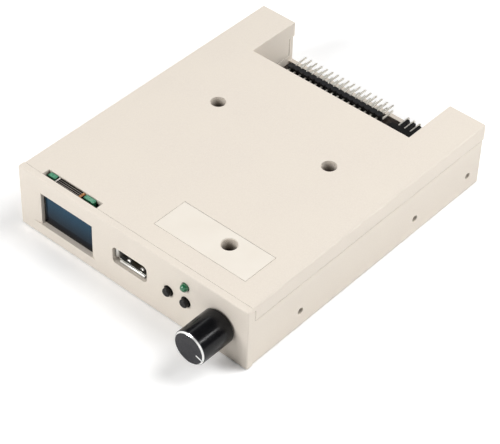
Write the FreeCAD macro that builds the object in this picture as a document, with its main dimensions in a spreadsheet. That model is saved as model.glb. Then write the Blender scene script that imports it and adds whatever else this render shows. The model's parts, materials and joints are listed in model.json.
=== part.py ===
import FreeCAD, Part
import math
import os
import Sketcher

# Floppy drive emulator: a beige plastic case of the 3.5 inch drive outline, with its electronics.
# Lengths are in millimetres. +X is right seen from the front, +Y runs to the back, +Z is up.
# Pieces are drawn from the middle of the bezel's front face at its underside, and every piece is then
# placed half the case depth forward, so that the origin is the middle of the underside.

# Driving sizes
SIZES = (
    # Case
    ("case_width", 101.6),
    ("case_depth", 124.0),
    ("case_height", 25.4),
    ("wall", 2.0),
    ("floor_thickness", 2.0),
    ("bezel_thickness", 2.6),
    ("bezel_return", 3.95),
    ("seam_height", 19.0),
    ("seam_gap", 0.12),
    ("edge_radius", 0.5),
    ("bezel_overhang", 0.4),
    ("cover_overhang", 0.8),
    # Bay at the back, between the two legs
    ("bay_half_width", 35.4),
    ("bay_depth", 23.5),
    ("bay_wall_bottom", 11.4),
    ("bay_sill_height", 9.2),
    # Side mounting holes
    ("side_hole_inset", 7.7),
    ("side_hole_rear_spacing", 30.0),
    ("side_hole_front_spacing", 60.0),
    ("side_hole_height", 6.9),
    ("side_hole_radius", 1.25),
    ("side_boss_radius", 3.2),
    ("side_boss_depth", 4.0),
    ("side_hole_floor", 1.0),
    # Screw wells in the cover and the bosses under them
    ("well_x", 25.0),
    ("well_setback", 30.1),
    ("front_well_x", 26.0),
    ("front_well_y", 19.3),
    ("well_radius", 2.75),
    ("well_wall", 1.4),
    ("well_web", 2.0),
    ("screw_radius", 1.25),
    ("screw_length", 8.0),
    ("screw_clearance", 0.35),
    ("thread_gap", 0.03),
    ("screw_head_radius", 2.4),
    ("screw_head_height", 1.8),
    ("screw_slot_width", 0.6),
    ("screw_slot_depth", 0.9),
    ("boss_radius", 3.2),
    ("pilot_spare", 1.6),
    ("post_radius", 2.2),
    ("post_inset", 3.0),
    ("front_post_y", 34.0),
    ("rear_post_setback", 8.5),
    # Label
    ("label_left", 1.65),
    ("label_front", 10.0),
    ("label_width", 39.4),
    ("label_length", 14.65),
    ("label_recess", 0.25),
    ("label_thickness", 0.2),
    ("label_gap", 0.12),
    ("label_hole_gap", 0.2),
    # Main board
    ("board_top", 10.2),
    ("board_thickness", 1.6),
    ("board_gap", 0.8),
    ("board_front_gap", 1.3),
    ("board_rear_gap", 1.4),
    ("board_tail_gap", 1.8),
    ("display_notch_side", 1.4),
    ("display_notch_rear", 2.7),
    ("encoder_notch_side", 1.65),
    ("encoder_notch_rear", 6.2),
    ("lead_hole_gap", 0.15),
    ("solder_stub", 0.6),
    # Display window and the slot above it
    ("display_inset", 21.15),
    ("window_width", 23.9),
    ("window_height", 13.45),
    ("window_slope_left", 3.5),
    ("window_slope_right", 2.0),
    ("window_slope_top", 2.2),
    ("window_slope_depth", 0.65),
    ("glass_depth", 2.1),
    ("slot_width", 25.0),
    ("slot_rear", 5.75),
    # Display module
    ("panel_side_margin", 1.4),
    ("panel_low_margin", 2.05),
    ("panel_top_margin", 0.9),
    ("panel_floor_gap", 0.7),
    ("panel_crown_gap", 2.8),
    ("front_glass_thickness", 0.75),
    ("back_glass_thickness", 0.7),
    ("glass_gap", 0.15),
    ("adhesive_thickness", 0.3),
    ("display_board_thickness", 1.6),
    ("display_board_drop", 0.3),
    ("display_tab_height", 2.6),
    ("display_tab_width", 21.3),
    ("display_tab_shift", -0.85),
    ("display_tab_corner", 0.7),
    ("flex_notch_width", 13.4),
    ("flex_notch_depth", 3.0),
    ("flex_notch_shift", -1.25),
    ("flex_width", 10.4),
    ("flex_shift", -1.45),
    ("flex_thickness", 0.2),
    ("flex_fold_radius", 0.9),
    ("flex_tail", 6.0),
    ("round_margin", 0.03),
    ("rail_height", 18.0),
    ("rail_thickness", 1.6),
    ("rail_lip", 1.2),
    ("rail_gap", 0.15),
    # USB socket
    ("usb_x", 0.0),
    ("usb_width", 13.1),
    ("usb_height", 5.7),
    ("usb_wall", 0.3),
    ("usb_corner_radius", 0.6),
    ("usb_fit", 0.1),
    ("usb_length", 14.0),
    ("usb_setback", 1.9),
    ("usb_tongue_width", 11.1),
    ("usb_tongue_thickness", 1.84),
    ("usb_tongue_drop", 0.75),
    ("usb_tongue_setback", 0.8),
    ("usb_block_length", 3.6),
    ("usb_contact_pitch", 2.25),
    ("usb_contact_width", 1.0),
    ("usb_contact_thickness", 0.25),
    ("usb_side_gap", 1.15),
    ("usb_top_gap", 0.4),
    ("usb_low_gap", 0.8),
    ("usb_opening_radius", 1.7),
    ("usb_leg_width", 1.6),
    ("usb_leg_y", 6.4),
    ("usb_spring_width", 1.6),
    ("usb_spring_length", 5.0),
    ("usb_spring_rise", 0.45),
    ("usb_spring_pitch", 5.2),
    # Push buttons
    ("control_height", 12.8),
    ("button_from_knob", 14.6),
    ("button_pitch", 7.5),
    ("button_radius", 1.6),
    ("button_reach", 1.6),
    ("button_edge", 0.3),
    ("button_hole_radius", 2.0),
    ("button_travel", 0.25),
    ("switch_setback", 1.4),
    ("switch_plate_thickness", 0.2),
    ("switch_width", 5.0),
    ("switch_depth", 3.6),
    ("switch_collar_radius", 2.0),
    ("switch_dome_thickness", 0.15),
    ("switch_floor", 1.8),
    ("slide_gap", 0.08),
    ("switch_leg_width", 0.6),
    ("switch_leg_thickness", 0.3),
    # Indicator lamp
    ("led_offset", -0.2),
    ("led_height", 19.3),
    ("led_radius", 1.5),
    ("led_reach", 1.9),
    ("led_length", 5.3),
    ("led_flange_radius", 1.9),
    ("led_flange_length", 1.0),
    ("led_hole_gap", 0.15),
    ("led_lead_width", 0.5),
    ("led_lead_pitch", 2.54),
    ("led_lead_gap", 0.5),
    # Rotary encoder
    ("encoder_inset", 11.3),
    ("encoder_width", 11.7),
    ("encoder_plate_thickness", 0.7),
    ("encoder_floor", 0.6),
    ("encoder_clamp_thickness", 0.5),
    ("encoder_clamp_height", 4.0),
    ("bushing_radius", 3.5),
    ("bushing_length", 5.0),
    ("bushing_hole_gap", 0.15),
    ("shaft_radius", 3.0),
    ("shaft_gap", 0.05),
    ("shaft_flat_depth", 1.5),
    ("shaft_flat_lead", 0.2),
    ("shaft_shoulder_gap", 0.2),
    ("shaft_key_radius", 2.6),
    ("shaft_key_flat", 2.1),
    ("shaft_end_length", 0.4),
    ("rotor_radius", 4.7),
    ("rotor_setback", 0.9),
    ("rotor_thickness", 2.9),
    ("rotor_gap", 0.1),
    ("clip_radius", 3.1),
    ("clip_thickness", 0.3),
    ("clip_gap", 0.02),
    ("push_travel", 0.5),
    ("push_dome_thickness", 0.15),
    ("push_dome_gap", 0.15),
    ("nut_across_flats", 9.0),
    ("nut_thickness", 2.0),
    ("washer_radius", 5.2),
    ("washer_thickness", 0.4),
    ("encoder_terminal_pitch", 2.5),
    ("encoder_terminal_width", 0.8),
    ("encoder_terminal_thickness", 0.4),
    ("encoder_terminal_length", 3.0),
    ("encoder_terminal_offset", 4.2),
    # Knob
    ("knob_radius", 6.4),
    ("knob_length", 13.8),
    ("knob_clearance", 0.2),
    ("knob_face", 1.4),
    ("knob_chamfer", 0.7),
    ("knob_nut_radius", 5.6),
    ("knob_nut_spare", 0.7),
    ("hub_radius", 4.6),
    ("hub_gap", 0.02),
    ("hub_clearance", 0.3),
    ("hub_end_wall", 1.2),
    ("pointer_angle", 16.0),
    ("pointer_start", 3.2),
    ("pointer_width", 0.55),
    ("pointer_depth", 0.3),
    # Data header
    ("pin_pitch", 2.54),
    ("pin_columns", 17.0),
    ("pin_width", 0.64),
    ("pin_gap", 0.01),
    ("header_x", -7.6),
    ("header_inset", 8.9),
    ("pin_tip_inset", 1.9),
    ("tail_setback", 1.5),
    ("scallop_depth", 0.6),
    ("scallop_width", 1.1),
    # Power header
    ("power_gap", 3.92),
    ("power_pitch", 2.54),
    ("power_pins", 4.0),
    ("power_pin_width", 0.8),
    ("power_pin_height", 1.3),
    ("power_inset", 9.1),
    ("power_block_depth", 2.7),
    ("power_block_height", 3.7),
    ("power_margin", 1.6),
    ("power_shelf_margin", 0.6),
    ("power_shelf_depth", 6.1),
    ("power_shelf_thickness", 0.8),
    ("power_rib_height", 1.6),
    ("power_rib_width", 1.3),
    ("power_tail_setback", 1.5),
    ("power_pin_tip_inset", 1.2),
    # Jumper block
    ("jumper_inset", 18.0),
    ("jumper_setback", 7.5),
    ("jumper_columns", 4.0),
    ("jumper_pin_height", 8.5),
    ("jumper_cap_height", 6.0),
    ("jumper_cap_wall", 0.6),
    ("jumper_cap_gap", 0.15),
    # Chips on the main board
    ("mcu_x", -8.0),
    ("mcu_setback", 50.5),
    ("mcu_width", 7.0),
    ("chip_thickness", 1.4),
    ("chip_standoff", 0.1),
    ("mcu_lead_pitch", 0.5),
    ("mcu_lead_count", 12.0),
    ("mcu_lead_width", 0.22),
    ("lead_reach", 1.0),
    ("lead_thickness", 0.2),
    ("lead_height", 0.7),
    ("driver_setback", 8.5),
    ("driver_x", -14.0),
    ("driver_spacing", 14.0),
    ("driver_length", 8.7),
    ("driver_width", 3.9),
    ("driver_lead_pitch", 1.27),
    ("driver_lead_count", 7.0),
    ("driver_lead_width", 0.4),
    ("crystal_x", -22.0),
    ("crystal_length", 11.0),
    ("crystal_width", 4.6),
    ("crystal_height", 3.5),
    ("regulator_x", 10.0),
    ("regulator_setback", 38.5),
    ("regulator_length", 6.5),
    ("regulator_width", 3.5),
    ("capacitor_x", 8.0),
    ("capacitor_setback", 22.5),
    ("capacitor_spacing", 8.0),
    ("capacitor_radius", 2.5),
    ("capacitor_height", 5.4),
    ("capacitor_base", 5.3),
    ("capacitor_base_height", 0.8),
    ("passive_x", -30.0),
    ("passive_row_gap", 6.5),
    ("passive_pitch", 3.2),
    ("passive_count", 6.0),
    ("passive_length", 2.0),
    ("passive_width", 1.25),
    ("resistor_height", 0.5),
    ("ceramic_height", 0.9),
    ("ceramic_row", 5.0),
    # Internal leads and their connectors
    ("lead_radius", 0.4),
    ("connector_pitch", 2.0),
    ("connector_depth", 4.5),
    ("connector_height", 4.0),
    ("connector_margin", 1.6),
    ("display_connector_gap", 5.0),
    ("display_lead_height", 15.0),
    ("encoder_connector_gap", 3.0),
    ("lead_entry_height", 2.0),
)

doc = FreeCAD.newDocument("drive_emulator")
sheet = doc.addObject("Spreadsheet::Sheet", "sizes")


class Size:
    """A length that knows its value and how the sheet's cells give it."""

    def __init__(self, value, text):
        self.value = value
        self.text = text

    def __add__(self, other):
        other = as_size(other)
        return Size(self.value + other.value, "(%s + %s)" % (self.text, other.text))

    def __radd__(self, other):
        return as_size(other) + self

    def __sub__(self, other):
        other = as_size(other)
        return Size(self.value - other.value, "(%s - %s)" % (self.text, other.text))

    def __rsub__(self, other):
        return as_size(other) - self

    def __mul__(self, other):
        other = as_size(other)
        return Size(self.value * other.value, "%s * %s" % (self.text, other.text))

    def __rmul__(self, other):
        return as_size(other) * self

    def __truediv__(self, other):
        other = as_size(other)
        return Size(self.value / other.value, "%s / %s" % (self.text, other.text))

    def __neg__(self):
        return Size(-self.value, "(0 - %s)" % self.text)


def as_size(number):
    if isinstance(number, Size):
        return number
    return Size(float(number), "%.9g" % number)


class Table:
    """The sheet's cells by name."""


def fill_sheet():
    table = Table()
    for row, (alias, value) in enumerate(SIZES, start=1):
        sheet.set("A%d" % row, alias)
        sheet.set("B%d" % row, str(value))
        sheet.setAlias("B%d" % row, alias)
        setattr(table, alias, Size(value, "sizes." + alias))
    doc.recompute()
    return table


d = fill_sheet()
half_width = d.case_width / 2
inner_half_width = half_width - d.wall
tray_rear = d.case_depth - d.cover_overhang
plate_bottom = d.case_height - d.wall
board_bottom = d.board_top - d.board_thickness
leg_inner_face = d.bay_half_width + d.wall
subparts = []


def bind(thing, name, size):
    thing.setExpression(name, as_size(size).text)


def place(thing, x=0, y=0, z=0, turn=None):
    """Puts a sub-part at x, y, z, where y is measured from the bezel's front face."""
    if turn is not None:
        thing.Placement = FreeCAD.Placement(FreeCAD.Vector(), FreeCAD.Rotation(FreeCAD.Vector(0, 1, 0), 1))
        bind(thing, "Placement.Rotation.Angle", turn)
    bind(thing, "Placement.Base.x", x)
    bind(thing, "Placement.Base.y", as_size(y) - d.case_depth / 2)
    bind(thing, "Placement.Base.z", z)


def new_body(label, x=0, y=0, z=0, turn=None):
    body = doc.addObject("PartDesign::Body", label)
    body.Label = label
    place(body, x, y, z, turn)
    subparts.append(body)
    return body


def origin_feature(body, role):
    for feature in body.Origin.OriginFeatures:
        if feature.Role == role:
            return feature
    raise ValueError(role)


def new_sketch(body, name, plane, level):
    """A sketch on the XY, XZ or YZ plane of a body, moved to the given level across it."""
    sketch = body.newObject("Sketcher::SketchObject", name)
    sketch.AttachmentSupport = [(origin_feature(body, plane + "_Plane"), "")]
    sketch.MapMode = "FlatFace"
    outward = -1 if plane == "XZ" else 1
    bind(sketch, "AttachmentOffset.Base.z", as_size(level) * outward)
    return sketch


def pin_point(sketch, geometry, end, point):
    """Ties one end of a line, or a circle's centre, to its distances from the sketch's origin."""
    for kind, size in zip(("DistanceX", "DistanceY"), point):
        size = as_size(size)
        number = sketch.addConstraint(Sketcher.Constraint(kind, -1, 1, geometry, end, size.value))
        sketch.setExpression("Constraints[%d]" % number, size.text)


def add_outline(sketch, points):
    first = sketch.GeometryCount
    ends = [FreeCAD.Vector(as_size(x).value, as_size(y).value, 0) for x, y in points]
    count = len(points)
    for i in range(count):
        sketch.addGeometry(Part.LineSegment(ends[i], ends[(i + 1) % count]), False)
    for i in range(count):
        following = first + (i + 1) % count
        sketch.addConstraint(Sketcher.Constraint("Coincident", first + i, 2, following, 1))
    for i in range(count):
        pin_point(sketch, first + i, 1, points[i])


def add_circle(sketch, x, y, radius):
    centre = FreeCAD.Vector(as_size(x).value, as_size(y).value, 0)
    radius = as_size(radius)
    circle = Part.Circle(centre, FreeCAD.Vector(0, 0, 1), radius.value)
    geometry = sketch.addGeometry(circle, False)
    number = sketch.addConstraint(Sketcher.Constraint("Radius", geometry, radius.value))
    sketch.setExpression("Constraints[%d]" % number, radius.text)
    pin_point(sketch, geometry, 3, (x, y))


def rectangle(x0, y0, x1, y1):
    return [(x0, y0), (x1, y0), (x1, y1), (x0, y1)]


def centred(x, y, width, height):
    width = as_size(width)
    height = as_size(height)
    return rectangle(x - width / 2, y - height / 2, x + width / 2, y + height / 2)


def prism(body, name, plane, shapes, low, high, remove=False):
    """Adds or removes a straight block between two levels, from outlines and circles (x, y, radius)."""
    sketch = new_sketch(body, name + "Sketch", plane, low)
    for shape in shapes:
        if isinstance(shape, tuple):
            add_circle(sketch, *shape)
        else:
            add_outline(sketch, shape)
    kind = "PartDesign::Pocket" if remove else "PartDesign::Pad"
    feature = body.newObject(kind, name)
    feature.Profile = sketch
    bind(feature, "Length", as_size(high) - low)
    feature.Reversed = (plane == "XZ") != remove
    body.Tip = feature
    return feature


def turned(body, name, points, remove=False):
    """Turns a profile of (radius, y) points about the body's own Y axis."""
    sketch = new_sketch(body, name + "Sketch", "XY", 0)
    add_outline(sketch, points)
    feature = body.newObject("PartDesign::Groove" if remove else "PartDesign::Revolution", name)
    feature.Profile = sketch
    feature.ReferenceAxis = (sketch, ["V_Axis"])
    feature.Angle = 360
    body.Tip = feature
    return feature


def repeat(body, name, features, axis, spacing, count):
    pattern = body.newObject("PartDesign::LinearPattern", name)
    pattern.Originals = features
    pattern.Direction = (origin_feature(body, axis + "_Axis"), [""])
    pattern.Mode = "Spacing"
    bind(pattern, "Offset", spacing)
    bind(pattern, "Occurrences", count)
    body.Tip = pattern
    return pattern


def round_edges(body, name, radius, chosen, kind="Fillet"):
    """Rounds or chamfers the edges of the body's last feature that the test picks."""
    doc.recompute()
    base = body.Tip
    names = ["Edge%d" % i for i, edge in enumerate(base.Shape.Edges, start=1) if chosen(edge)]
    if not names:
        raise ValueError("no edge for " + name)
    feature = body.newObject("PartDesign::" + kind, name)
    feature.Base = (base, names)
    bind(feature, "Radius" if kind == "Fillet" else "Size", radius)
    body.Tip = feature
    return feature


def lies_on(edge, **levels):
    """True where the whole edge lies at each given coordinate, such as x=50.8 or z=0."""
    for axis, level in levels.items():
        if any(abs(getattr(v, axis.upper()) - as_size(level).value) > 1e-5 for v in edge.Vertexes):
            return False
    return True


def on_corner(edge, x, z, width, height):
    """True for the four edges along Y at the corners of a rectangle centred on x, z."""
    side = lies_on(edge, x=x - width / 2) or lies_on(edge, x=x + width / 2)
    end = lies_on(edge, z=z - height / 2) or lies_on(edge, z=z + height / 2)
    return side and end


def both_sides(shape_of_side):
    """The shapes of the right and the left side, from a function of the side's sign."""
    return [shape_of_side(1), shape_of_side(-1)]


def side_box(side, x0, y0, x1, y1):
    """A rectangle from x0 to x1 on one side of the middle plane."""
    if side > 0:
        return rectangle(x0, y0, x1, y1)
    return rectangle(-x1, y0, -x0, y1)


# Places that several pieces share
bay_front = d.case_depth - d.bay_depth
board_half_width = inner_half_width - d.side_boss_depth - d.board_gap
display_x = d.display_inset - half_width
panel_width = d.window_width + d.panel_side_margin * 2
panel_bottom = d.floor_thickness + d.panel_floor_gap
window_bottom = panel_bottom + d.panel_low_margin
front_glass_height = d.panel_low_margin + d.window_height + d.panel_top_margin
flex_fold_top = d.case_height - d.display_board_drop
panel_top = flex_fold_top - d.flex_thickness - d.panel_crown_gap
rail_inner = panel_width / 2 + d.rail_gap
back_glass_front = d.glass_depth + d.front_glass_thickness
adhesive_front = back_glass_front + d.back_glass_thickness
display_board_front = adhesive_front + d.adhesive_thickness
display_board_rear = display_board_front + d.display_board_thickness
lip_front = display_board_rear + d.rail_gap
lip_rear = lip_front + d.rail_lip
display_notch_x = display_x + rail_inner + d.rail_thickness + d.display_notch_side
display_notch_y = lip_rear + d.display_notch_rear
display_connector_y = display_notch_y + d.display_connector_gap
usb_centre = d.board_top + d.usb_height / 2
wells = [(d.well_x, bay_front - d.well_setback), (-d.well_x, bay_front - d.well_setback),
         (d.front_well_x, d.front_well_y)]
screw_hole_radius = d.screw_radius + d.screw_clearance
screw_seat = d.board_top + d.well_web
last_side_hole = d.case_depth - d.side_hole_inset
middle_side_hole = last_side_hole - d.side_hole_rear_spacing
side_hole_places = [middle_side_hole - d.side_hole_front_spacing, middle_side_hole, last_side_hole]

# The encoder's stack along its axis, from the bezel's back to the housing's rear
encoder_x = half_width - d.encoder_inset
encoder_seat = d.bezel_thickness
bushing_front = encoder_seat - d.bushing_length
housing_front = encoder_seat + d.encoder_plate_thickness
rotor_front = housing_front + d.rotor_setback
rotor_rear = rotor_front + d.rotor_thickness
clip_front = rotor_rear + d.rotor_gap
clip_rear = clip_front + d.clip_thickness
shaft_rear = clip_rear + d.shaft_end_length
push_dome_front = shaft_rear + d.push_travel + d.push_dome_gap
housing_floor = push_dome_front + d.push_dome_thickness
housing_rear = housing_floor + d.encoder_floor
terminal_rear = housing_rear + d.encoder_terminal_length
encoder_notch_x = encoder_x - d.encoder_width / 2 - d.encoder_clamp_thickness - d.encoder_notch_side
encoder_notch_y = terminal_rear + d.encoder_notch_rear
encoder_connector_y = encoder_notch_y + d.encoder_connector_gap

# The knob's stack along the same axis, from its open end to its face
knob_rear = -(d.push_travel + d.knob_clearance)
knob_front = knob_rear - d.knob_length
knob_floor = knob_front + d.knob_face
hub_rear = bushing_front - d.push_travel - d.hub_clearance
nut_room_floor = hub_rear - d.knob_nut_spare
shaft_tip = knob_floor + d.hub_end_wall

# The switches, between the bezel and the board's front edge
button_x = encoder_x - d.button_from_knob - d.button_pitch
switch_plate_front = d.bezel_thickness + d.switch_setback
switch_front = switch_plate_front + d.switch_plate_thickness
switch_rear = switch_front + d.switch_depth
switch_dome_front = switch_rear - d.switch_floor - d.switch_dome_thickness
led_x = button_x + d.button_pitch + d.led_offset

# The headers in the bay, and the jumpers ahead of them
header_rear = d.case_depth - d.header_inset
header_front = header_rear - d.pin_pitch
first_column = d.header_x - d.pin_pitch * (d.pin_columns - 1) / 2
header_left = first_column - d.pin_pitch / 2
header_right = header_left + d.pin_pitch * d.pin_columns
power_x = header_right + d.power_gap + d.power_margin
power_block_rear = d.case_depth - d.power_inset
power_front = power_block_rear - d.power_block_depth
power_shelf_rear = power_block_rear + d.power_shelf_depth
jumper_x = board_half_width - d.jumper_inset
jumper_y = bay_front - d.jumper_setback


# Bottom tray, with the front bezel in one moulding
def make_bottom_tray():
    tray = new_body("bottom_tray")
    half = half_width
    bezel_half = half + d.bezel_overhang
    bezel_rear = d.bezel_thickness
    return_top = plate_bottom - d.seam_gap
    prism(tray, "Block", "XY", [rectangle(-half, bezel_rear, half, tray_rear)], 0, d.seam_height)
    prism(tray, "Returns", "XY", [rectangle(-half, bezel_rear, half, d.bezel_return)],
          d.seam_height, return_top)

    def body_edge(edge):
        side = lies_on(edge, x=half) or lies_on(edge, x=-half)
        back = lies_on(edge, y=tray_rear)
        underside = lies_on(edge, z=0)
        return (side and (back or underside)) or (back and underside)

    round_edges(tray, "BodyRounds", d.edge_radius, body_edge)
    prism(tray, "Bezel", "XY", [rectangle(-bezel_half, 0, bezel_half, bezel_rear)], 0, d.case_height)

    def bezel_edge(edge):
        side = lies_on(edge, x=bezel_half) or lies_on(edge, x=-bezel_half)
        front = lies_on(edge, y=0)
        level = lies_on(edge, z=0) or lies_on(edge, z=d.case_height)
        return (side and (front or level)) or (front and level)

    round_edges(tray, "BezelRounds", d.edge_radius, bezel_edge)
    inside = rectangle(-inner_half_width, d.bezel_thickness, inner_half_width, tray_rear - d.wall)
    prism(tray, "Cavity", "XY", [inside], d.floor_thickness, d.case_height, remove=True)
    sill = rectangle(-d.bay_half_width, tray_rear - d.wall, d.bay_half_width, tray_rear)
    prism(tray, "SillCut", "XY", [sill], d.bay_sill_height, d.seam_height, remove=True)
    leg_walls = both_sides(lambda side: side_box(
        side, d.bay_half_width, bay_front - d.wall, leg_inner_face, tray_rear - d.wall))
    prism(tray, "LegWalls", "XY", leg_walls, d.floor_thickness, d.bay_wall_bottom - d.seam_gap)
    add_display_seat(tray)
    add_board_supports(tray)
    add_side_bosses(tray)
    cut_front_openings(tray)


def add_display_seat(tray):
    """Two upright rails with lips that hold the display board against the bezel."""

    def rail(side):
        inner = display_x + side * rail_inner
        outer = inner + side * d.rail_thickness
        lip = inner - side * (d.rail_lip + d.rail_gap)
        front = d.bezel_thickness
        return [(inner, front), (outer, front), (outer, lip_rear), (lip, lip_rear),
                (lip, lip_front), (inner, lip_front)]

    prism(tray, "Rails", "XY", both_sides(rail), d.floor_thickness, d.floor_thickness + d.rail_height)


def add_board_supports(tray):
    bosses = [(x, y, d.boss_radius) for x, y in wells]
    prism(tray, "Bosses", "XY", bosses, d.floor_thickness, board_bottom)
    pilots = [(x, y, d.screw_radius + d.thread_gap) for x, y in wells]
    pilot_bottom = screw_seat - d.screw_length - d.pilot_spare
    prism(tray, "Pilots", "XY", pilots, pilot_bottom, board_bottom, remove=True)
    posts = [(side * (board_half_width - d.post_inset), y, d.post_radius)
             for side in (1, -1) for y in (d.front_post_y, bay_front - d.rear_post_setback)]
    prism(tray, "Posts", "XY", posts, d.floor_thickness, board_bottom)


def add_side_bosses(tray):
    """Three blind holes on each side, for the screws of a drive bay."""
    boss_start = inner_half_width - d.side_boss_depth
    hole_start = boss_start + d.side_hole_floor
    for side, label in ((1, "Right"), (-1, "Left")):
        bosses = [(y, d.side_hole_height, d.side_boss_radius) for y in side_hole_places]
        holes = [(y, d.side_hole_height, d.side_hole_radius) for y in side_hole_places]
        if side > 0:
            prism(tray, label + "Bosses", "YZ", bosses, boss_start, inner_half_width)
            prism(tray, label + "Holes", "YZ", holes, hole_start, half_width, remove=True)
        else:
            prism(tray, label + "Bosses", "YZ", bosses, -inner_half_width, -boss_start)
            prism(tray, label + "Holes", "YZ", holes, -half_width, -hole_start, remove=True)


def cut_front_openings(tray):
    window_left = display_x - d.window_width / 2
    window_right = display_x + d.window_width / 2
    window_top = window_bottom + d.window_height
    rim = new_sketch(tray, "WindowRim", "XZ", 0)
    add_outline(rim, rectangle(window_left - d.window_slope_left, window_bottom,
                               window_right + d.window_slope_right, window_top + d.window_slope_top))
    throat = new_sketch(tray, "WindowThroat", "XZ", d.window_slope_depth)
    window = rectangle(window_left, window_bottom, window_right, window_top)
    add_outline(throat, window)
    slope = tray.newObject("PartDesign::SubtractiveLoft", "WindowSlope")
    slope.Profile = rim
    slope.Sections = [throat]
    tray.Tip = slope
    prism(tray, "Window", "XZ", [window], 0, d.bezel_thickness, remove=True)
    glass_half = panel_width / 2 + d.glass_gap
    glass_seat = rectangle(display_x - glass_half, panel_bottom - d.glass_gap, display_x + glass_half,
                           panel_bottom + front_glass_height + d.glass_gap)
    prism(tray, "GlassSeat", "XZ", [glass_seat], d.glass_depth, d.bezel_thickness, remove=True)
    usb_width = d.usb_width + d.usb_side_gap * 2
    usb_height = d.usb_height + d.usb_top_gap + d.usb_low_gap
    opening_z = usb_centre + (d.usb_top_gap - d.usb_low_gap) / 2
    prism(tray, "UsbOpening", "XZ", [centred(d.usb_x, opening_z, usb_width, usb_height)],
          0, d.bezel_thickness, remove=True)
    round_edges(tray, "UsbCorners", d.usb_opening_radius,
                lambda edge: on_corner(edge, d.usb_x, opening_z, usb_width, usb_height))
    round_holes = [
        (button_x, d.control_height, d.button_hole_radius),
        (button_x + d.button_pitch, d.control_height, d.button_hole_radius),
        (led_x, d.led_height, d.led_radius + d.led_hole_gap),
        (encoder_x, d.control_height, d.bushing_radius + d.bushing_hole_gap),
    ]
    prism(tray, "FrontHoles", "XZ", round_holes, 0, d.bezel_thickness, remove=True)


# Top cover
def make_top_cover():
    cover = new_body("top_cover")
    half = half_width
    rear = d.case_depth
    skirt_front = d.bezel_return + d.seam_gap
    skirt_bottom = d.seam_height + d.seam_gap
    plate_front = d.bezel_thickness + d.seam_gap
    bay = d.bay_half_width

    def u_outline(side_face, front, back, leg_face, bay_face):
        return [(-side_face, front), (side_face, front), (side_face, back), (leg_face, back),
                (leg_face, bay_face), (-leg_face, bay_face), (-leg_face, back), (-side_face, back)]

    prism(cover, "Block", "XY", [u_outline(half, skirt_front, rear, bay, bay_front)],
          skirt_bottom, d.case_height)
    prism(cover, "FrontStrip", "XY", [rectangle(-half, plate_front, half, skirt_front)],
          plate_bottom, d.case_height)

    def outer_edge(edge):
        side = lies_on(edge, x=half) or lies_on(edge, x=-half)
        back = lies_on(edge, y=rear)
        top = lies_on(edge, z=d.case_height)
        return (side and (back or top)) or (back and top)

    round_edges(cover, "OuterRounds", d.edge_radius, outer_edge)
    hollow = u_outline(inner_half_width, plate_front, rear - d.wall, leg_inner_face, bay_front - d.wall)
    prism(cover, "Hollow", "XY", [hollow], skirt_bottom, plate_bottom, remove=True)
    deep_rear = tray_rear - d.wall - d.seam_gap
    bay_walls = [(-leg_inner_face, bay_front - d.wall), (leg_inner_face, bay_front - d.wall),
                 (leg_inner_face, deep_rear), (bay, deep_rear), (bay, bay_front),
                 (-bay, bay_front), (-bay, deep_rear), (-leg_inner_face, deep_rear)]
    prism(cover, "BayWalls", "XY", [bay_walls], d.bay_wall_bottom, skirt_bottom)
    outside = d.well_radius + d.well_wall
    prism(cover, "WellTubes", "XY", [(x, y, outside) for x, y in wells], d.board_top, plate_bottom)
    prism(cover, "Wells", "XY", [(x, y, d.well_radius) for x, y in wells],
          screw_seat, d.case_height, remove=True)
    prism(cover, "ScrewHoles", "XY", [(x, y, screw_hole_radius) for x, y in wells],
          d.board_top, screw_seat, remove=True)
    slot_half = d.slot_width / 2
    slot = rectangle(display_x - slot_half, plate_front, display_x + slot_half, d.slot_rear)
    prism(cover, "DisplaySlot", "XY", [slot], plate_bottom, d.case_height, remove=True)
    label = rectangle(d.label_left, d.label_front, d.label_left + d.label_width,
                      d.label_front + d.label_length)
    prism(cover, "LabelRecess", "XY", [label], d.case_height - d.label_recess, d.case_height, remove=True)


def make_label():
    label = new_body("blank_label")
    low = d.case_height - d.label_recess
    sheet_outline = rectangle(d.label_left + d.label_gap, d.label_front + d.label_gap,
                              d.label_left + d.label_width - d.label_gap,
                              d.label_front + d.label_length - d.label_gap)
    prism(label, "Sheet", "XY", [sheet_outline], low, low + d.label_thickness)
    hole = (d.front_well_x, d.front_well_y, d.well_radius + d.label_hole_gap)
    prism(label, "Hole", "XY", [hole], low, low + d.label_thickness, remove=True)


def make_cover_screws():
    screws = new_body("cover_screws")
    top = screw_seat + d.screw_head_height
    prism(screws, "Shanks", "XY", [(x, y, d.screw_radius) for x, y in wells],
          screw_seat - d.screw_length, screw_seat)
    prism(screws, "Heads", "XY", [(x, y, d.screw_head_radius) for x, y in wells], screw_seat, top)
    crosses = []
    for x, y in wells:
        arm = d.screw_head_radius / 2
        half = d.screw_slot_width / 2
        crosses.append([(x - arm, y - half), (x - half, y - half), (x - half, y - arm),
                        (x + half, y - arm), (x + half, y - half), (x + arm, y - half),
                        (x + arm, y + half), (x + half, y + half), (x + half, y + arm),
                        (x - half, y + arm), (x - half, y + half), (x - arm, y + half)])
    prism(screws, "Crosses", "XY", crosses, top - d.screw_slot_depth, top, remove=True)


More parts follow.
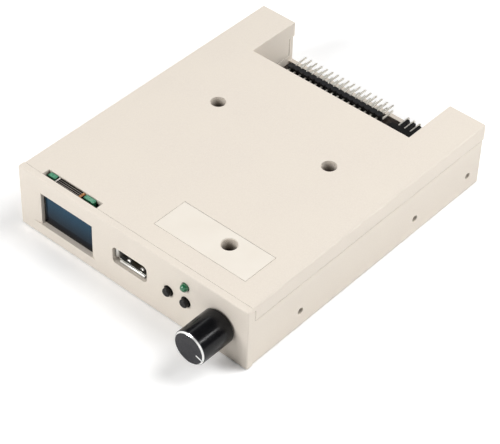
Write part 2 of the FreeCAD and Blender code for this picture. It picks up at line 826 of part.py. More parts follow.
# Main board
def make_main_board():
    board = new_body("main_board")
    tail_half = d.bay_half_width - d.board_tail_gap
    step = bay_front - d.wall - d.board_gap
    front = d.bezel_thickness + d.board_front_gap
    rear = tray_rear - d.wall - d.board_rear_gap
    outline = [
        (display_notch_x, front), (encoder_notch_x, front),
        (encoder_notch_x, encoder_notch_y), (board_half_width, encoder_notch_y),
        (board_half_width, step), (tail_half, step), (tail_half, rear),
        (-tail_half, rear), (-tail_half, step), (-board_half_width, step),
        (-board_half_width, display_notch_y), (display_notch_x, display_notch_y),
    ]
    prism(board, "Sheet", "XY", [outline], board_bottom, d.board_top)
    prism(board, "ScrewHoles", "XY", [(x, y, screw_hole_radius) for x, y in wells],
          board_bottom, d.board_top, remove=True)
    lead_holes = [(x, y, lead_hole_radius(width)) for x, y, width in through_leads()]
    prism(board, "LeadHoles", "XY", lead_holes, board_bottom, d.board_top, remove=True)
    header_holes = [(first_column, y, lead_hole_radius(d.pin_width)) for y in header_tail_rows()]
    column = prism(board, "HeaderHoles", "XY", header_holes, board_bottom, d.board_top, remove=True)
    repeat(board, "HeaderHoleRow", [column], "X", d.pin_pitch, d.pin_columns)


def lead_hole_radius(width):
    """Radius of a hole that clears the corners of a square lead."""
    return width * math.sqrt(0.5) + d.lead_hole_gap


def header_tail_rows():
    lower = header_front - d.tail_setback
    return [lower - d.pin_pitch, lower]


def power_pin_places():
    return [power_x + d.power_pitch * i for i in range(POWER_PIN_COUNT)]


def switch_leg_places():
    places = []
    for i in range(BUTTON_COUNT):
        centre = button_x + d.button_pitch * i
        for side in (-1, 1):
            for y in (switch_front + d.switch_leg_width, switch_rear - d.switch_leg_width):
                places.append((centre + side * (d.switch_width / 2 - d.switch_leg_width), y))
    return places


def led_lead_places():
    y = switch_rear + d.led_lead_gap + d.led_lead_width / 2
    return [(led_x + side * d.led_lead_pitch / 2, y) for side in (-1, 1)]


def usb_leg_places():
    return [(d.usb_x + side * (d.usb_width / 2 + d.usb_wall / 2), d.usb_leg_y) for side in (-1, 1)]


def usb_tail_places():
    y = d.usb_setback + d.usb_length + d.usb_contact_width
    first = d.usb_x - d.usb_contact_pitch * (USB_CONTACT_COUNT - 1) / 2
    return [(first + d.usb_contact_pitch * i, y) for i in range(USB_CONTACT_COUNT)]


def jumper_places():
    first = jumper_x - d.pin_pitch * (d.jumper_columns - 1) / 2
    return [(first + d.pin_pitch * column, jumper_y + side * d.pin_pitch / 2)
            for column in range(JUMPER_COLUMN_COUNT) for side in (-1, 1)]


def through_leads():
    """Each lead that passes through the main board, as x, y and its width."""
    leads = [(x, y, d.switch_leg_width) for x, y in switch_leg_places()]
    leads += [(x, y, d.led_lead_width) for x, y in led_lead_places()]
    leads += [(x, y, d.usb_leg_width) for x, y in usb_leg_places()]
    leads += [(x, y, d.usb_contact_width) for x, y in usb_tail_places()]
    leads += [(x, y, d.pin_width) for x, y in jumper_places()]
    leads += [(x, power_front - d.power_tail_setback, d.power_pin_width) for x in power_pin_places()]
    return leads


BUTTON_COUNT = 2
USB_CONTACT_COUNT = 4
POWER_PIN_COUNT = int(d.power_pins.value)
JUMPER_COLUMN_COUNT = int(d.jumper_columns.value)


# Display
def make_display():
    left = display_x - panel_width / 2
    right = display_x + panel_width / 2
    front = new_body("display_front_glass")
    prism(front, "Glass", "XZ", [rectangle(left, panel_bottom, right, panel_bottom + front_glass_height)],
          d.glass_depth, back_glass_front)
    back = new_body("display_back_glass")
    panel = rectangle(left, panel_bottom, right, panel_top)
    prism(back, "Glass", "XZ", [panel], back_glass_front, adhesive_front)
    adhesive = new_body("display_adhesive")
    prism(adhesive, "Sheet", "XZ", [panel], adhesive_front, display_board_front)
    make_display_board(left, right)
    make_display_flex()
    make_display_parts()


def make_display_board(left, right):
    board = new_body("display_board")
    top = flex_fold_top
    shoulder = top - d.display_tab_height
    tab_middle = display_x + d.display_tab_shift
    tab_left = tab_middle - d.display_tab_width / 2
    tab_right = tab_middle + d.display_tab_width / 2
    notch_middle = display_x + d.flex_notch_shift
    notch_left = notch_middle - d.flex_notch_width / 2
    notch_right = notch_middle + d.flex_notch_width / 2
    notch_bottom = top - d.flex_notch_depth
    outline = [
        (left, panel_bottom), (right, panel_bottom), (right, shoulder), (tab_right, shoulder),
        (tab_right, top), (notch_right, top), (notch_right, notch_bottom), (notch_left, notch_bottom),
        (notch_left, top), (tab_left, top), (tab_left, shoulder), (left, shoulder),
    ]
    prism(board, "Sheet", "XZ", [outline], display_board_front, display_board_rear)
    round_edges(board, "TabCorners", d.display_tab_corner, lambda edge: (
        lies_on(edge, z=top) and (lies_on(edge, x=tab_left) or lies_on(edge, x=tab_right))))


def make_display_flex():
    """A thin strip from the back glass's ledge, over the notch and down the back of the board."""
    flex = new_body("display_flex")
    middle = display_x + d.flex_shift
    low = middle - d.flex_width / 2
    high = middle + d.flex_width / 2
    front = back_glass_front
    rear = display_board_rear
    ledge_bottom = panel_bottom + front_glass_height + d.glass_gap
    outer_front = front - d.flex_thickness
    outer_rear = rear + d.flex_thickness
    inner_top = flex_fold_top - d.flex_thickness
    tail_bottom = flex_fold_top - d.flex_fold_radius - d.flex_tail
    strip = [
        (outer_front, ledge_bottom), (front, ledge_bottom), (front, inner_top), (rear, inner_top),
        (rear, tail_bottom), (outer_rear, tail_bottom), (outer_rear, flex_fold_top),
        (outer_front, flex_fold_top),
    ]
    prism(flex, "Strip", "YZ", [strip], low, high)
    round_edges(flex, "Fold", d.flex_fold_radius, lambda edge: (
        lies_on(edge, z=flex_fold_top) and (lies_on(edge, y=outer_front) or lies_on(edge, y=outer_rear))))
    round_edges(flex, "FoldInside", d.flex_fold_radius - d.flex_thickness, lambda edge: (
        lies_on(edge, z=inner_top) and (lies_on(edge, y=front) or lies_on(edge, y=rear))))


def make_display_parts():
    parts = new_body("display_parts")
    row = panel_bottom + d.passive_length
    first = display_x - d.passive_pitch * (d.passive_count - 1) / 2
    chip = prism(parts, "Chip", "XZ", [centred(first, row, d.passive_width, d.passive_length)],
                 display_board_rear, display_board_rear + d.resistor_height)
    repeat(parts, "ChipRow", [chip], "X", d.passive_pitch, d.passive_count)


# USB socket
def make_usb_socket():
    shell = new_body("usb_shell")
    front = d.usb_setback
    rear = front + d.usb_length
    inner_width = d.usb_width - d.usb_wall * 2
    inner_height = d.usb_height - d.usb_wall * 2
    prism(shell, "Tube", "XZ", [centred(d.usb_x, usb_centre, d.usb_width, d.usb_height),
                                centred(d.usb_x, usb_centre, inner_width, inner_height)], front, rear)
    round_edges(shell, "OuterBends", d.usb_corner_radius,
                lambda edge: on_corner(edge, d.usb_x, usb_centre, d.usb_width, d.usb_height))
    round_edges(shell, "InnerBends", d.usb_corner_radius - d.usb_wall,
                lambda edge: on_corner(edge, d.usb_x, usb_centre, inner_width, inner_height))
    legs = [centred(x, y, d.usb_wall, d.usb_leg_width) for x, y in usb_leg_places()]
    prism(shell, "Legs", "XY", legs, board_bottom - d.solder_stub, usb_centre)
    inner_bottom = usb_centre - inner_height / 2
    spring_end = front + d.usb_tongue_setback + d.usb_spring_length
    spring_start = spring_end - d.usb_spring_length
    spring_middle = (spring_start + spring_end) / 2
    bump = [(spring_start, inner_bottom), (spring_end, inner_bottom),
            (spring_middle, inner_bottom + d.usb_spring_rise)]
    for side, label in ((1, "Right"), (-1, "Left")):
        middle = d.usb_x + side * d.usb_spring_pitch / 2
        prism(shell, label + "Spring", "YZ", [bump], middle - d.usb_spring_width / 2,
              middle + d.usb_spring_width / 2)

    tongue = new_body("usb_tongue")
    block_front = rear - d.usb_block_length
    tongue_top = usb_centre + inner_height / 2 - d.usb_tongue_drop
    tongue_bottom = tongue_top - d.usb_tongue_thickness
    fit = d.usb_fit * 2
    prism(tongue, "Block", "XZ", [centred(d.usb_x, usb_centre, inner_width - fit, inner_height - fit)],
          block_front, rear)
    half_tongue = d.usb_tongue_width / 2
    prism(tongue, "Tongue", "XZ", [rectangle(d.usb_x - half_tongue, tongue_bottom,
                                             d.usb_x + half_tongue, tongue_top)],
          front + d.usb_tongue_setback, block_front)
    strip_top = tongue_bottom + d.usb_contact_thickness
    strips = [rectangle(x - d.usb_contact_width / 2, tongue_bottom, x + d.usb_contact_width / 2, strip_top)
              for x, y in usb_tail_places()]
    strip_front = front + d.usb_tongue_setback * 2
    prism(tongue, "Grooves", "XZ", strips, strip_front, rear, remove=True)

    contacts = new_body("usb_contacts")
    tail_rear = usb_tail_places()[0][1] + d.usb_contact_thickness / 2
    prism(contacts, "Strips", "XZ", strips, strip_front, tail_rear)
    tails = [centred(x, y, d.usb_contact_width, d.usb_contact_thickness) for x, y in usb_tail_places()]
    prism(contacts, "Tails", "XY", tails, board_bottom - d.solder_stub, tongue_bottom)


# Push buttons
def make_buttons():
    cavity_floor = switch_rear - d.switch_floor
    half_height = d.control_height - d.board_top
    for i in range(BUTTON_COUNT):
        number = i + 1
        x = button_x + d.button_pitch * i
        square = rectangle(-d.switch_width / 2, -half_height, d.switch_width / 2, half_height)
        cavity = d.switch_collar_radius + d.slide_gap
        housing = new_body("switch_housing_%d" % number, x=x, z=d.control_height)
        prism(housing, "Block", "XZ", [square], switch_front, switch_rear)
        prism(housing, "Cavity", "XZ", [(0, 0, cavity)], switch_front, cavity_floor, remove=True)
        plate = new_body("switch_plate_%d" % number, x=x, z=d.control_height)
        prism(plate, "Sheet", "XZ", [square], switch_plate_front, switch_front)
        prism(plate, "Hole", "XZ", [(0, 0, d.button_radius + d.slide_gap)], switch_plate_front,
              switch_front, remove=True)
        dome = new_body("switch_dome_%d" % number, x=x, z=d.control_height)
        turned(dome, "Disc", [(0, switch_dome_front), (d.switch_collar_radius, switch_dome_front),
                              (d.switch_collar_radius, cavity_floor), (0, cavity_floor)])
        button = new_body("button_%d" % number, x=x, z=d.control_height)
        collar_front = switch_front + d.slide_gap
        collar_rear = switch_dome_front - d.button_travel - d.slide_gap
        tip = -d.button_reach
        turned(button, "Plunger", [
            (0, tip), (d.button_radius - d.button_edge, tip), (d.button_radius, tip + d.button_edge),
            (d.button_radius, collar_front), (d.switch_collar_radius, collar_front),
            (d.switch_collar_radius, collar_rear), (0, collar_rear)])
    terminals = new_body("switch_terminals")
    legs = [centred(x, y, d.switch_leg_thickness, d.switch_leg_width) for x, y in switch_leg_places()]
    prism(terminals, "Legs", "XY", legs, board_bottom - d.solder_stub, d.board_top)


# Indicator lamp
def make_indicator():
    lamp = new_body("indicator_led", x=led_x, z=d.led_height)
    tip = -d.led_reach
    flange_front = tip + d.led_length
    flange_rear = flange_front + d.led_flange_length
    turned(lamp, "Lens", [(0, tip), (d.led_radius, tip), (d.led_radius, flange_front),
                          (d.led_flange_radius, flange_front), (d.led_flange_radius, flange_rear),
                          (0, flange_rear)])
    round_edges(lamp, "Dome", d.led_radius - d.round_margin, lambda edge: lies_on(edge, y=tip))
    leads = new_body("led_leads")
    half = d.led_lead_width / 2
    for number, (x, y) in enumerate(led_lead_places(), start=1):
        bend = [(flange_rear, d.led_height - half), (y - half, d.led_height - half),
                (y - half, board_bottom - d.solder_stub), (y + half, board_bottom - d.solder_stub),
                (y + half, d.led_height + half), (flange_rear, d.led_height + half)]
        prism(leads, "Lead%d" % number, "YZ", [bend], x - half, x + half)


# Rotary encoder, on its own axis
def on_axis(label, turning=False):
    """A body on the encoder's axis; what turns with the shaft is set at the pointer's angle."""
    angle = d.pointer_angle if turning else None
    return new_body(label, x=encoder_x, z=d.control_height, turn=angle)


def make_encoder():
    bore = d.shaft_radius + d.shaft_gap
    frame = on_axis("encoder_frame")
    square = centred(0, 0, d.encoder_width, d.encoder_width)
    prism(frame, "Plate", "XZ", [square], encoder_seat, housing_front)
    prism(frame, "Bushing", "XZ", [(0, 0, d.bushing_radius)], bushing_front, encoder_seat)
    clamp_half = d.encoder_clamp_height / 2
    clamp_inner = d.encoder_width / 2
    clamp_outer = clamp_inner + d.encoder_clamp_thickness
    clamps = both_sides(lambda side: side_box(side, clamp_inner, -clamp_half, clamp_outer, clamp_half))
    prism(frame, "Clamps", "XZ", clamps, encoder_seat, housing_rear)
    prism(frame, "Bore", "XZ", [(0, 0, bore)], bushing_front, housing_front, remove=True)

    housing = on_axis("encoder_housing")
    prism(housing, "Block", "XZ", [square], housing_front, housing_rear)
    prism(housing, "RotorRoom", "XZ", [(0, 0, d.rotor_radius + d.rotor_gap)], housing_front,
          rotor_rear + d.rotor_gap, remove=True)
    prism(housing, "SwitchRoom", "XZ", [(0, 0, d.clip_radius + d.rotor_gap)], housing_front,
          housing_floor, remove=True)

    dome = on_axis("encoder_push_dome")
    turned(dome, "Disc", [(0, push_dome_front), (d.clip_radius, push_dome_front),
                          (d.clip_radius, housing_floor), (0, housing_floor)])
    make_shaft_parts()
    make_encoder_terminals()

    washer = on_axis("encoder_washer")
    hole = d.bushing_radius + d.thread_gap
    prism(washer, "Ring", "XZ", [(0, 0, d.washer_radius), (0, 0, hole)], -d.washer_thickness, 0)
    nut = on_axis("encoder_nut")
    corner = d.nut_across_flats / math.sqrt(3)
    hexagon = [(corner * math.cos(math.radians(60 * i)), corner * math.sin(math.radians(60 * i)))
               for i in range(6)]
    nut_rear = -d.washer_thickness
    prism(nut, "Hexagon", "XZ", [hexagon], nut_rear - d.nut_thickness, nut_rear)
    prism(nut, "Thread", "XZ", [(0, 0, hole)], nut_rear - d.nut_thickness, nut_rear, remove=True)


def make_shaft_parts():
    shaft = on_axis("encoder_shaft", turning=True)
    shoulder = housing_front + d.shaft_shoulder_gap
    turned(shaft, "Bar", [(0, shaft_tip), (d.shaft_radius, shaft_tip), (d.shaft_radius, shoulder),
                          (d.shaft_key_radius, shoulder), (d.shaft_key_radius, shaft_rear),
                          (0, shaft_rear)])
    flat = d.shaft_radius - d.shaft_flat_depth
    beyond = d.shaft_radius * 2
    prism(shaft, "KnobFlat", "XZ", [rectangle(-beyond, flat, beyond, beyond)],
          shaft_tip, hub_rear + d.shaft_flat_lead, remove=True)
    keys = both_sides(lambda side: side_box(side, d.shaft_key_flat, -beyond, beyond, beyond))
    prism(shaft, "Keys", "XZ", keys, shoulder, rotor_rear + d.push_travel, remove=True)

    rotor = on_axis("encoder_rotor", turning=True)
    prism(rotor, "Disc", "XZ", [(0, 0, d.rotor_radius)], rotor_front, rotor_rear)
    key_radius = d.shaft_key_radius + d.shaft_gap
    prism(rotor, "Bore", "XZ", [(0, 0, key_radius)], rotor_front, rotor_rear, remove=True)
    key_flat = d.shaft_key_flat + d.shaft_gap
    cheeks = both_sides(lambda side: side_box(side, key_flat, -key_radius, d.shaft_radius, key_radius))
    prism(rotor, "Cheeks", "XZ", cheeks, rotor_front, rotor_rear)

    clip = on_axis("shaft_clip", turning=True)
    clip_bore = d.shaft_key_radius + d.clip_gap
    turned(clip, "Ring", [(clip_bore, clip_front), (d.clip_radius, clip_front),
                          (d.clip_radius, clip_rear), (clip_bore, clip_rear)])


def encoder_terminal_places():
    """Three terminals above the axis for the turning contacts, two below for the push switch."""
    upper = [(d.encoder_terminal_pitch * i, d.encoder_terminal_offset) for i in (-1, 0, 1)]
    lower = [(d.encoder_terminal_pitch * i, -d.encoder_terminal_offset) for i in (-1, 1)]
    return [lower[0]] + upper + [lower[1]]


def make_encoder_terminals():
    terminals = on_axis("encoder_terminals")
    strips = [centred(x, z, d.encoder_terminal_width, d.encoder_terminal_thickness)
              for x, z in encoder_terminal_places()]
    prism(terminals, "Strips", "XZ", strips, housing_rear, terminal_rear)


# Knob
def make_knob():
    shell = on_axis("knob", turning=True)
    bore = d.hub_radius + d.hub_gap
    face_radius = d.knob_radius - d.knob_chamfer
    turned(shell, "Shell", [
        (0, knob_front), (face_radius, knob_front), (d.knob_radius, knob_front + d.knob_chamfer),
        (d.knob_radius, knob_rear), (d.knob_nut_radius, knob_rear), (d.knob_nut_radius, nut_room_floor),
        (bore, nut_room_floor), (bore, knob_floor), (0, knob_floor)])
    half = d.pointer_width / 2
    pointer_rear = knob_front + d.pointer_depth
    groove = rectangle(d.pointer_start, -half, d.knob_radius, half)
    prism(shell, "PointerGroove", "XZ", [groove], knob_front, pointer_rear, remove=True)

    pointer = on_axis("knob_pointer", turning=True)
    prism(pointer, "Inlay", "XZ", [rectangle(d.pointer_start, -half, face_radius, half)],
          knob_front, pointer_rear)

    hub = on_axis("knob_hub", turning=True)
    prism(hub, "Plug", "XZ", [(0, 0, d.hub_radius)], knob_floor, hub_rear)
    round_bore = d.shaft_radius + d.hub_gap
    bore_end = shaft_tip - d.hub_gap
    prism(hub, "Bore", "XZ", [(0, 0, round_bore)], bore_end, hub_rear, remove=True)
    flat = d.shaft_radius - d.shaft_flat_depth + d.hub_gap
    prism(hub, "Flat", "XZ", [rectangle(-round_bore, flat, round_bore, round_bore + d.hub_gap)],
          bore_end, hub_rear)


# Data header
def make_floppy_header():
    header = new_body("floppy_header")
    front = header_front
    rear = header_rear
    top = d.board_top + d.pin_pitch * 2
    prism(header, "Block", "XY", [rectangle(header_left, front, header_right, rear)], d.board_top, top)
    half = d.scallop_width / 2
    left = header_left
    nicks = [[(left - half, front), (left + half, front), (left, front + d.scallop_depth)],
             [(left - half, rear), (left, rear - d.scallop_depth), (left + half, rear)]]
    nick = prism(header, "Nicks", "XY", nicks, d.board_top, top, remove=True)
    repeat(header, "NickRow", [nick], "X", d.pin_pitch, d.pin_columns + 1)
    hole_width = d.pin_width + d.pin_gap * 2
    holes = [centred(first_column, z, hole_width, hole_width) for z in header_rows()]
    hole = prism(header, "PinHoles", "XZ", holes, front, rear, remove=True)
    repeat(header, "PinHoleRow", [hole], "X", d.pin_pitch, d.pin_columns)

    pins = new_body("floppy_header_pins")
    half_pin = d.pin_width / 2
    tip = d.case_depth - d.pin_tip_inset
    stub = board_bottom - d.solder_stub
    bends = []
    for z, y in zip(reversed(header_rows()), header_tail_rows()):
        bends.append([(y - half_pin, stub), (y + half_pin, stub), (y + half_pin, z - half_pin),
                      (tip, z - half_pin), (tip, z + half_pin), (y - half_pin, z + half_pin)])
    column = prism(pins, "Pins", "YZ", bends, first_column - half_pin, first_column + half_pin)
    repeat(pins, "PinRow", [column], "X", d.pin_pitch, d.pin_columns)


def header_rows():
    return [d.board_top + d.pin_pitch / 2, d.board_top + d.pin_pitch * 1.5]


# Power header
def make_power_header():
    header = new_body("power_header")
    first = power_x
    last = power_x + d.power_pitch * (d.power_pins - 1)
    left = first - d.power_margin
    right = last + d.power_margin
    axis_height = d.board_top + d.power_pin_height
    block_top = d.board_top + d.power_block_height
    prism(header, "Block", "XY", [rectangle(left, power_front, right, power_block_rear)],
          d.board_top, block_top)
    shelf_top = d.board_top + d.power_shelf_thickness
    prism(header, "Shelf", "XY", [rectangle(first - d.power_shelf_margin, power_block_rear,
                                            last + d.power_shelf_margin, power_shelf_rear)],
          d.board_top, shelf_top)
    rib_middle = first + d.power_pitch / 2
    rib = prism(header, "Rib", "XY", [rectangle(rib_middle - d.power_rib_width / 2, power_block_rear,
                                                rib_middle + d.power_rib_width / 2, power_shelf_rear)],
                shelf_top, shelf_top + d.power_rib_height)
    repeat(header, "RibRow", [rib], "X", d.power_pitch, d.power_pins - 1)
    hole_width = d.power_pin_width + d.pin_gap * 2
    hole = prism(header, "PinHole", "XZ", [centred(first, axis_height, hole_width, hole_width)],
                 power_front, power_block_rear, remove=True)
    repeat(header, "PinHoleRow", [hole], "X", d.power_pitch, d.power_pins)

    pins = new_body("power_header_pins")
    half = d.power_pin_width / 2
    tail = power_front - d.power_tail_setback
    stub = board_bottom - d.solder_stub
    tip = d.case_depth - d.power_pin_tip_inset
    bend = [(tail - half, stub), (tail + half, stub), (tail + half, axis_height - half),
            (tip, axis_height - half), (tip, axis_height + half), (tail - half, axis_height + half)]
    pin = prism(pins, "Pin", "YZ", [bend], first - half, first + half)
    repeat(pins, "PinRow", [pin], "X", d.power_pitch, d.power_pins)


# Jumper block
def make_jumpers():
    header = new_body("jumper_header")
    width = d.pin_pitch * d.jumper_columns
    top = d.board_top + d.pin_pitch
    prism(header, "Block", "XY", [centred(jumper_x, jumper_y, width, d.pin_pitch * 2)],
          d.board_top, top)
    hole_width = d.pin_width + d.pin_gap * 2
    holes = [centred(x, y, hole_width, hole_width) for x, y in jumper_places()]
    prism(header, "PinHoles", "XY", holes, d.board_top, top, remove=True)
    pins = new_body("jumper_pins")
    pin_top = d.board_top + d.jumper_pin_height
    prism(pins, "Pins", "XY", [centred(x, y, d.pin_width, d.pin_width) for x, y in jumper_places()],
          board_bottom - d.solder_stub, pin_top)
    cap = new_body("jumper_cap")
    cap_x = jumper_places()[0][0]
    cap_top = top + d.jumper_cap_height + d.jumper_cap_wall
    prism(cap, "Block", "XY", [centred(cap_x, jumper_y, d.pin_pitch - d.jumper_cap_gap, d.pin_pitch * 2)],
          top, cap_top)
    sockets = [centred(x, y, hole_width, hole_width) for x, y in jumper_places()[:2]]
    prism(cap, "Sockets", "XY", sockets, top, cap_top - d.jumper_cap_wall, remove=True)


# Parts soldered to the main board
def add_gull_leads(body, name, centre, start, inner, spacing, count, width, along):
    """Rows of flat bent leads down both sides of a chip, side by side along X or along Y."""
    foot = d.board_top
    outer = inner + d.lead_reach
    knee = inner + d.lead_reach / 2
    top = foot + d.lead_height
    plane = "YZ" if along == "X" else "XZ"
    shapes = []
    for side in (1, -1):
        profile = [(inner, top - d.lead_thickness), (knee - d.lead_thickness, top - d.lead_thickness),
                   (knee - d.lead_thickness, foot), (outer, foot), (outer, foot + d.lead_thickness),
                   (knee, foot + d.lead_thickness), (knee, top), (inner, top)]
        shapes.append([(centre + side * x, z) for x, z in profile])
    lead = prism(body, name, plane, shapes, start - width / 2, start + width / 2)
    return repeat(body, name + "Row", [lead], along, spacing, count)


def make_chips():
    low = d.board_top + d.chip_standoff
    high = low + d.chip_thickness
    mcu_y = bay_front - d.mcu_setback
    mcu = new_body("microcontroller")
    prism(mcu, "Package", "XY", [centred(d.mcu_x, mcu_y, d.mcu_width, d.mcu_width)], low, high)
    leads = new_body("microcontroller_leads")
    span = d.mcu_lead_pitch * (d.mcu_lead_count - 1)
    for along, centre, start in (("X", mcu_y, d.mcu_x - span / 2), ("Y", d.mcu_x, mcu_y - span / 2)):
        add_gull_leads(leads, "Along" + along, centre, start, d.mcu_width / 2, d.mcu_lead_pitch,
                       d.mcu_lead_count, d.mcu_lead_width, along)
    driver_y = bay_front - d.driver_setback
    drivers = new_body("bus_drivers")
    driver = prism(drivers, "Package", "XY",
                   [centred(d.driver_x, driver_y, d.driver_length, d.driver_width)], low, high)
    repeat(drivers, "Pair", [driver], "X", d.driver_spacing, DRIVER_COUNT)
    driver_leads = new_body("bus_driver_leads")
    driver_span = d.driver_lead_pitch * (d.driver_lead_count - 1)
    for i in range(DRIVER_COUNT):
        add_gull_leads(driver_leads, "Driver%d" % (i + 1), driver_y,
                       d.driver_x + d.driver_spacing * i - driver_span / 2, d.driver_width / 2,
                       d.driver_lead_pitch, d.driver_lead_count, d.driver_lead_width, "X")
    regulator = new_body("voltage_regulator")
    prism(regulator, "Package", "XY",
          [centred(d.regulator_x, bay_front - d.regulator_setback, d.regulator_length, d.regulator_width)],
          d.board_top, d.board_top + d.chip_thickness)
    crystal = new_body("crystal")
    prism(crystal, "Can", "XY", [centred(d.crystal_x, mcu_y, d.crystal_length, d.crystal_width)],
          d.board_top, d.board_top + d.crystal_height)
    left = d.crystal_x - d.crystal_length / 2
    right = d.crystal_x + d.crystal_length / 2
    near = mcu_y - d.crystal_width / 2
    far = mcu_y + d.crystal_width / 2

    def upright_corner(edge):
        side = lies_on(edge, x=left) or lies_on(edge, x=right)
        return side and (lies_on(edge, y=near) or lies_on(edge, y=far))

    round_edges(crystal, "Ends", d.crystal_width / 2 - d.round_margin, upright_corner)


DRIVER_COUNT = 2
CAPACITOR_COUNT = 2


def make_passives():
    cans = new_body("electrolytic_capacitors")
    can_y = bay_front - d.capacitor_setback
    base = prism(cans, "Base", "XY", [centred(d.capacitor_x, can_y, d.capacitor_base, d.capacitor_base)],
                 d.board_top, d.board_top + d.capacitor_base_height)
    can = prism(cans, "Can", "XY", [(d.capacitor_x, can_y, d.capacitor_radius)],
                d.board_top + d.capacitor_base_height, d.board_top + d.capacitor_height)
    repeat(cans, "Pair", [base, can], "X", d.capacitor_spacing, CAPACITOR_COUNT)
    resistors = new_body("resistors")
    row_y = bay_front - d.mcu_setback + d.passive_row_gap
    resistor = prism(resistors, "Resistor", "XY",
                     [centred(d.passive_x, row_y, d.passive_width, d.passive_length)],
                     d.board_top, d.board_top + d.resistor_height)
    repeat(resistors, "Row", [resistor], "X", d.passive_pitch, d.passive_count)
    ceramics = new_body("ceramic_capacitors")
    ceramic = prism(ceramics, "Ceramic", "XY",
                    [centred(d.passive_x, row_y + d.ceramic_row, d.passive_width, d.passive_length)],
                    d.board_top, d.board_top + d.ceramic_height)
    repeat(ceramics, "Row", [ceramic], "X", d.passive_pitch, d.passive_count)


# Internal leads, each wire a tube of straight runs joined by tangent arcs
def point(x, y, z):
    return FreeCAD.Vector(as_size(x).value, as_size(y).value, as_size(z).value)


ARC_SHARE = 0.45
WIRE_RUNS = 3
DISPLAY_WAYS = 4
ENCODER_WAYS = 5


def wire_tube(points, radius):
    edges = []
    start = points[0]
    for before, corner, after in zip(points, points[1:], points[2:]):
        into = (corner - before).normalize()
        out = (after - corner).normalize()
        turn = into.getAngle(out)
        cut = ARC_SHARE * min(corner.distanceToPoint(before), corner.distanceToPoint(after))
        arc_start = corner - into * cut
        arc_end = corner + out * cut
        bend_radius = cut / math.tan(turn / 2)
        inward = (out - into).normalize()
        middle = corner + inward * (bend_radius / math.cos(turn / 2) - bend_radius)
        edges.append(Part.LineSegment(start, arc_start).toShape())
        edges.append(Part.Arc(arc_start, middle, arc_end).toShape())
        print("bend radius %.2f mm on a %.2f mm wire" % (bend_radius, 2 * radius))
        start = arc_end
    edges.append(Part.LineSegment(start, points[-1]).toShape())
    route = Part.Wire(edges)
    ring = Part.Wire([Part.makeCircle(radius, points[0], points[1] - points[0])])
    return route.makePipeShell([ring], True, False)


def new_leads(label, routes):
    tubes = [wire_tube(route, d.lead_radius.value) for route in routes]
    leads = doc.addObject("Part::Feature", label)
    leads.Label = label
    leads.Shape = Part.makeCompound(tubes)
    place(leads)
    subparts.append(leads)


def make_connector(label, middle, front, ways):
    block = new_body(label)
    half = d.connector_pitch * (ways - 1) / 2 + d.connector_margin
    prism(block, "Block", "XY", [rectangle(middle - half, front, middle + half,
                                           front + d.connector_depth)],
          d.board_top, d.board_top + d.connector_height)


def add_wire(routes, terminal, way_x, way_y, entry):
    """A wire from a terminal straight back, down or up to a connector's way, and straight into it."""
    x, y, z = terminal
    run = (way_y - y) / WIRE_RUNS
    routes.append([point(x, y, z), point(x, y + run, z), point(way_x, way_y - run, entry),
                   point(way_x, way_y, entry)])


def way_places(middle, ways):
    return [middle + d.connector_pitch * (i - (ways - 1) / 2) for i in range(ways)]


def make_internal_leads():
    entry = d.board_top + d.lead_entry_height
    make_connector("display_connector", display_x, display_connector_y, DISPLAY_WAYS)
    routes = []
    for x in way_places(display_x, DISPLAY_WAYS):
        add_wire(routes, (x, display_board_rear, d.display_lead_height), x, display_connector_y, entry)
    new_leads("display_lead", routes)
    make_connector("encoder_connector", encoder_x, encoder_connector_y, ENCODER_WAYS)
    routes = []
    for way_x, (x, z) in zip(way_places(encoder_x, ENCODER_WAYS), encoder_terminal_places()):
        add_wire(routes, (encoder_x + x, terminal_rear, d.control_height + z), way_x,
                 encoder_connector_y, entry)
    new_leads("encoder_lead", routes)


# Checks before anything is written
def check_document():
    doc.recompute()
    problems = []
    for thing in doc.Objects:
        if "Invalid" in thing.State or "Error" in thing.State:
            problems.append("%s is %s" % (thing.Name, thing.State))
            continue
        base = getattr(thing, "BaseFeature", None)
        if base is None or base.Shape.isNull() or not thing.isDerivedFrom("PartDesign::Feature"):
            continue
        change = thing.Shape.Volume - base.Shape.Volume
        removes = thing.TypeId in ("PartDesign::Pocket", "PartDesign::Groove", "PartDesign::SubtractiveLoft")
        if (removes and change >= 0) or (thing.TypeId == "PartDesign::Pad" and change <= 0):
            problems.append("%s changed the volume by %.4f" % (thing.Name, change))
    for part in subparts:
        if part.Shape.isNull() or not part.Shape.isValid():
            problems.append("%s has no valid shape" % part.Label)
    if problems:
        raise RuntimeError("\n".join(problems))


def write_parts():
    os.makedirs("parts", exist_ok=True)
    for part in subparts:
        part.Shape.exportStep("parts/%s.step" % part.Label)
        print("%-26s %3d solids %10.2f mm3" % (part.Label, len(part.Shape.Solids), part.Shape.Volume))


make_bottom_tray()
make_top_cover()
make_label()
make_cover_screws()
make_main_board()
make_display()
make_usb_socket()
make_buttons()
make_indicator()
make_encoder()
make_knob()
make_floppy_header()
make_power_header()
make_jumpers()
make_chips()
make_passives()
make_internal_leads()
check_document()
write_parts()
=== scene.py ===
import json
import math

import bmesh
import bpy
from mathutils import Matrix, Quaternion, Vector


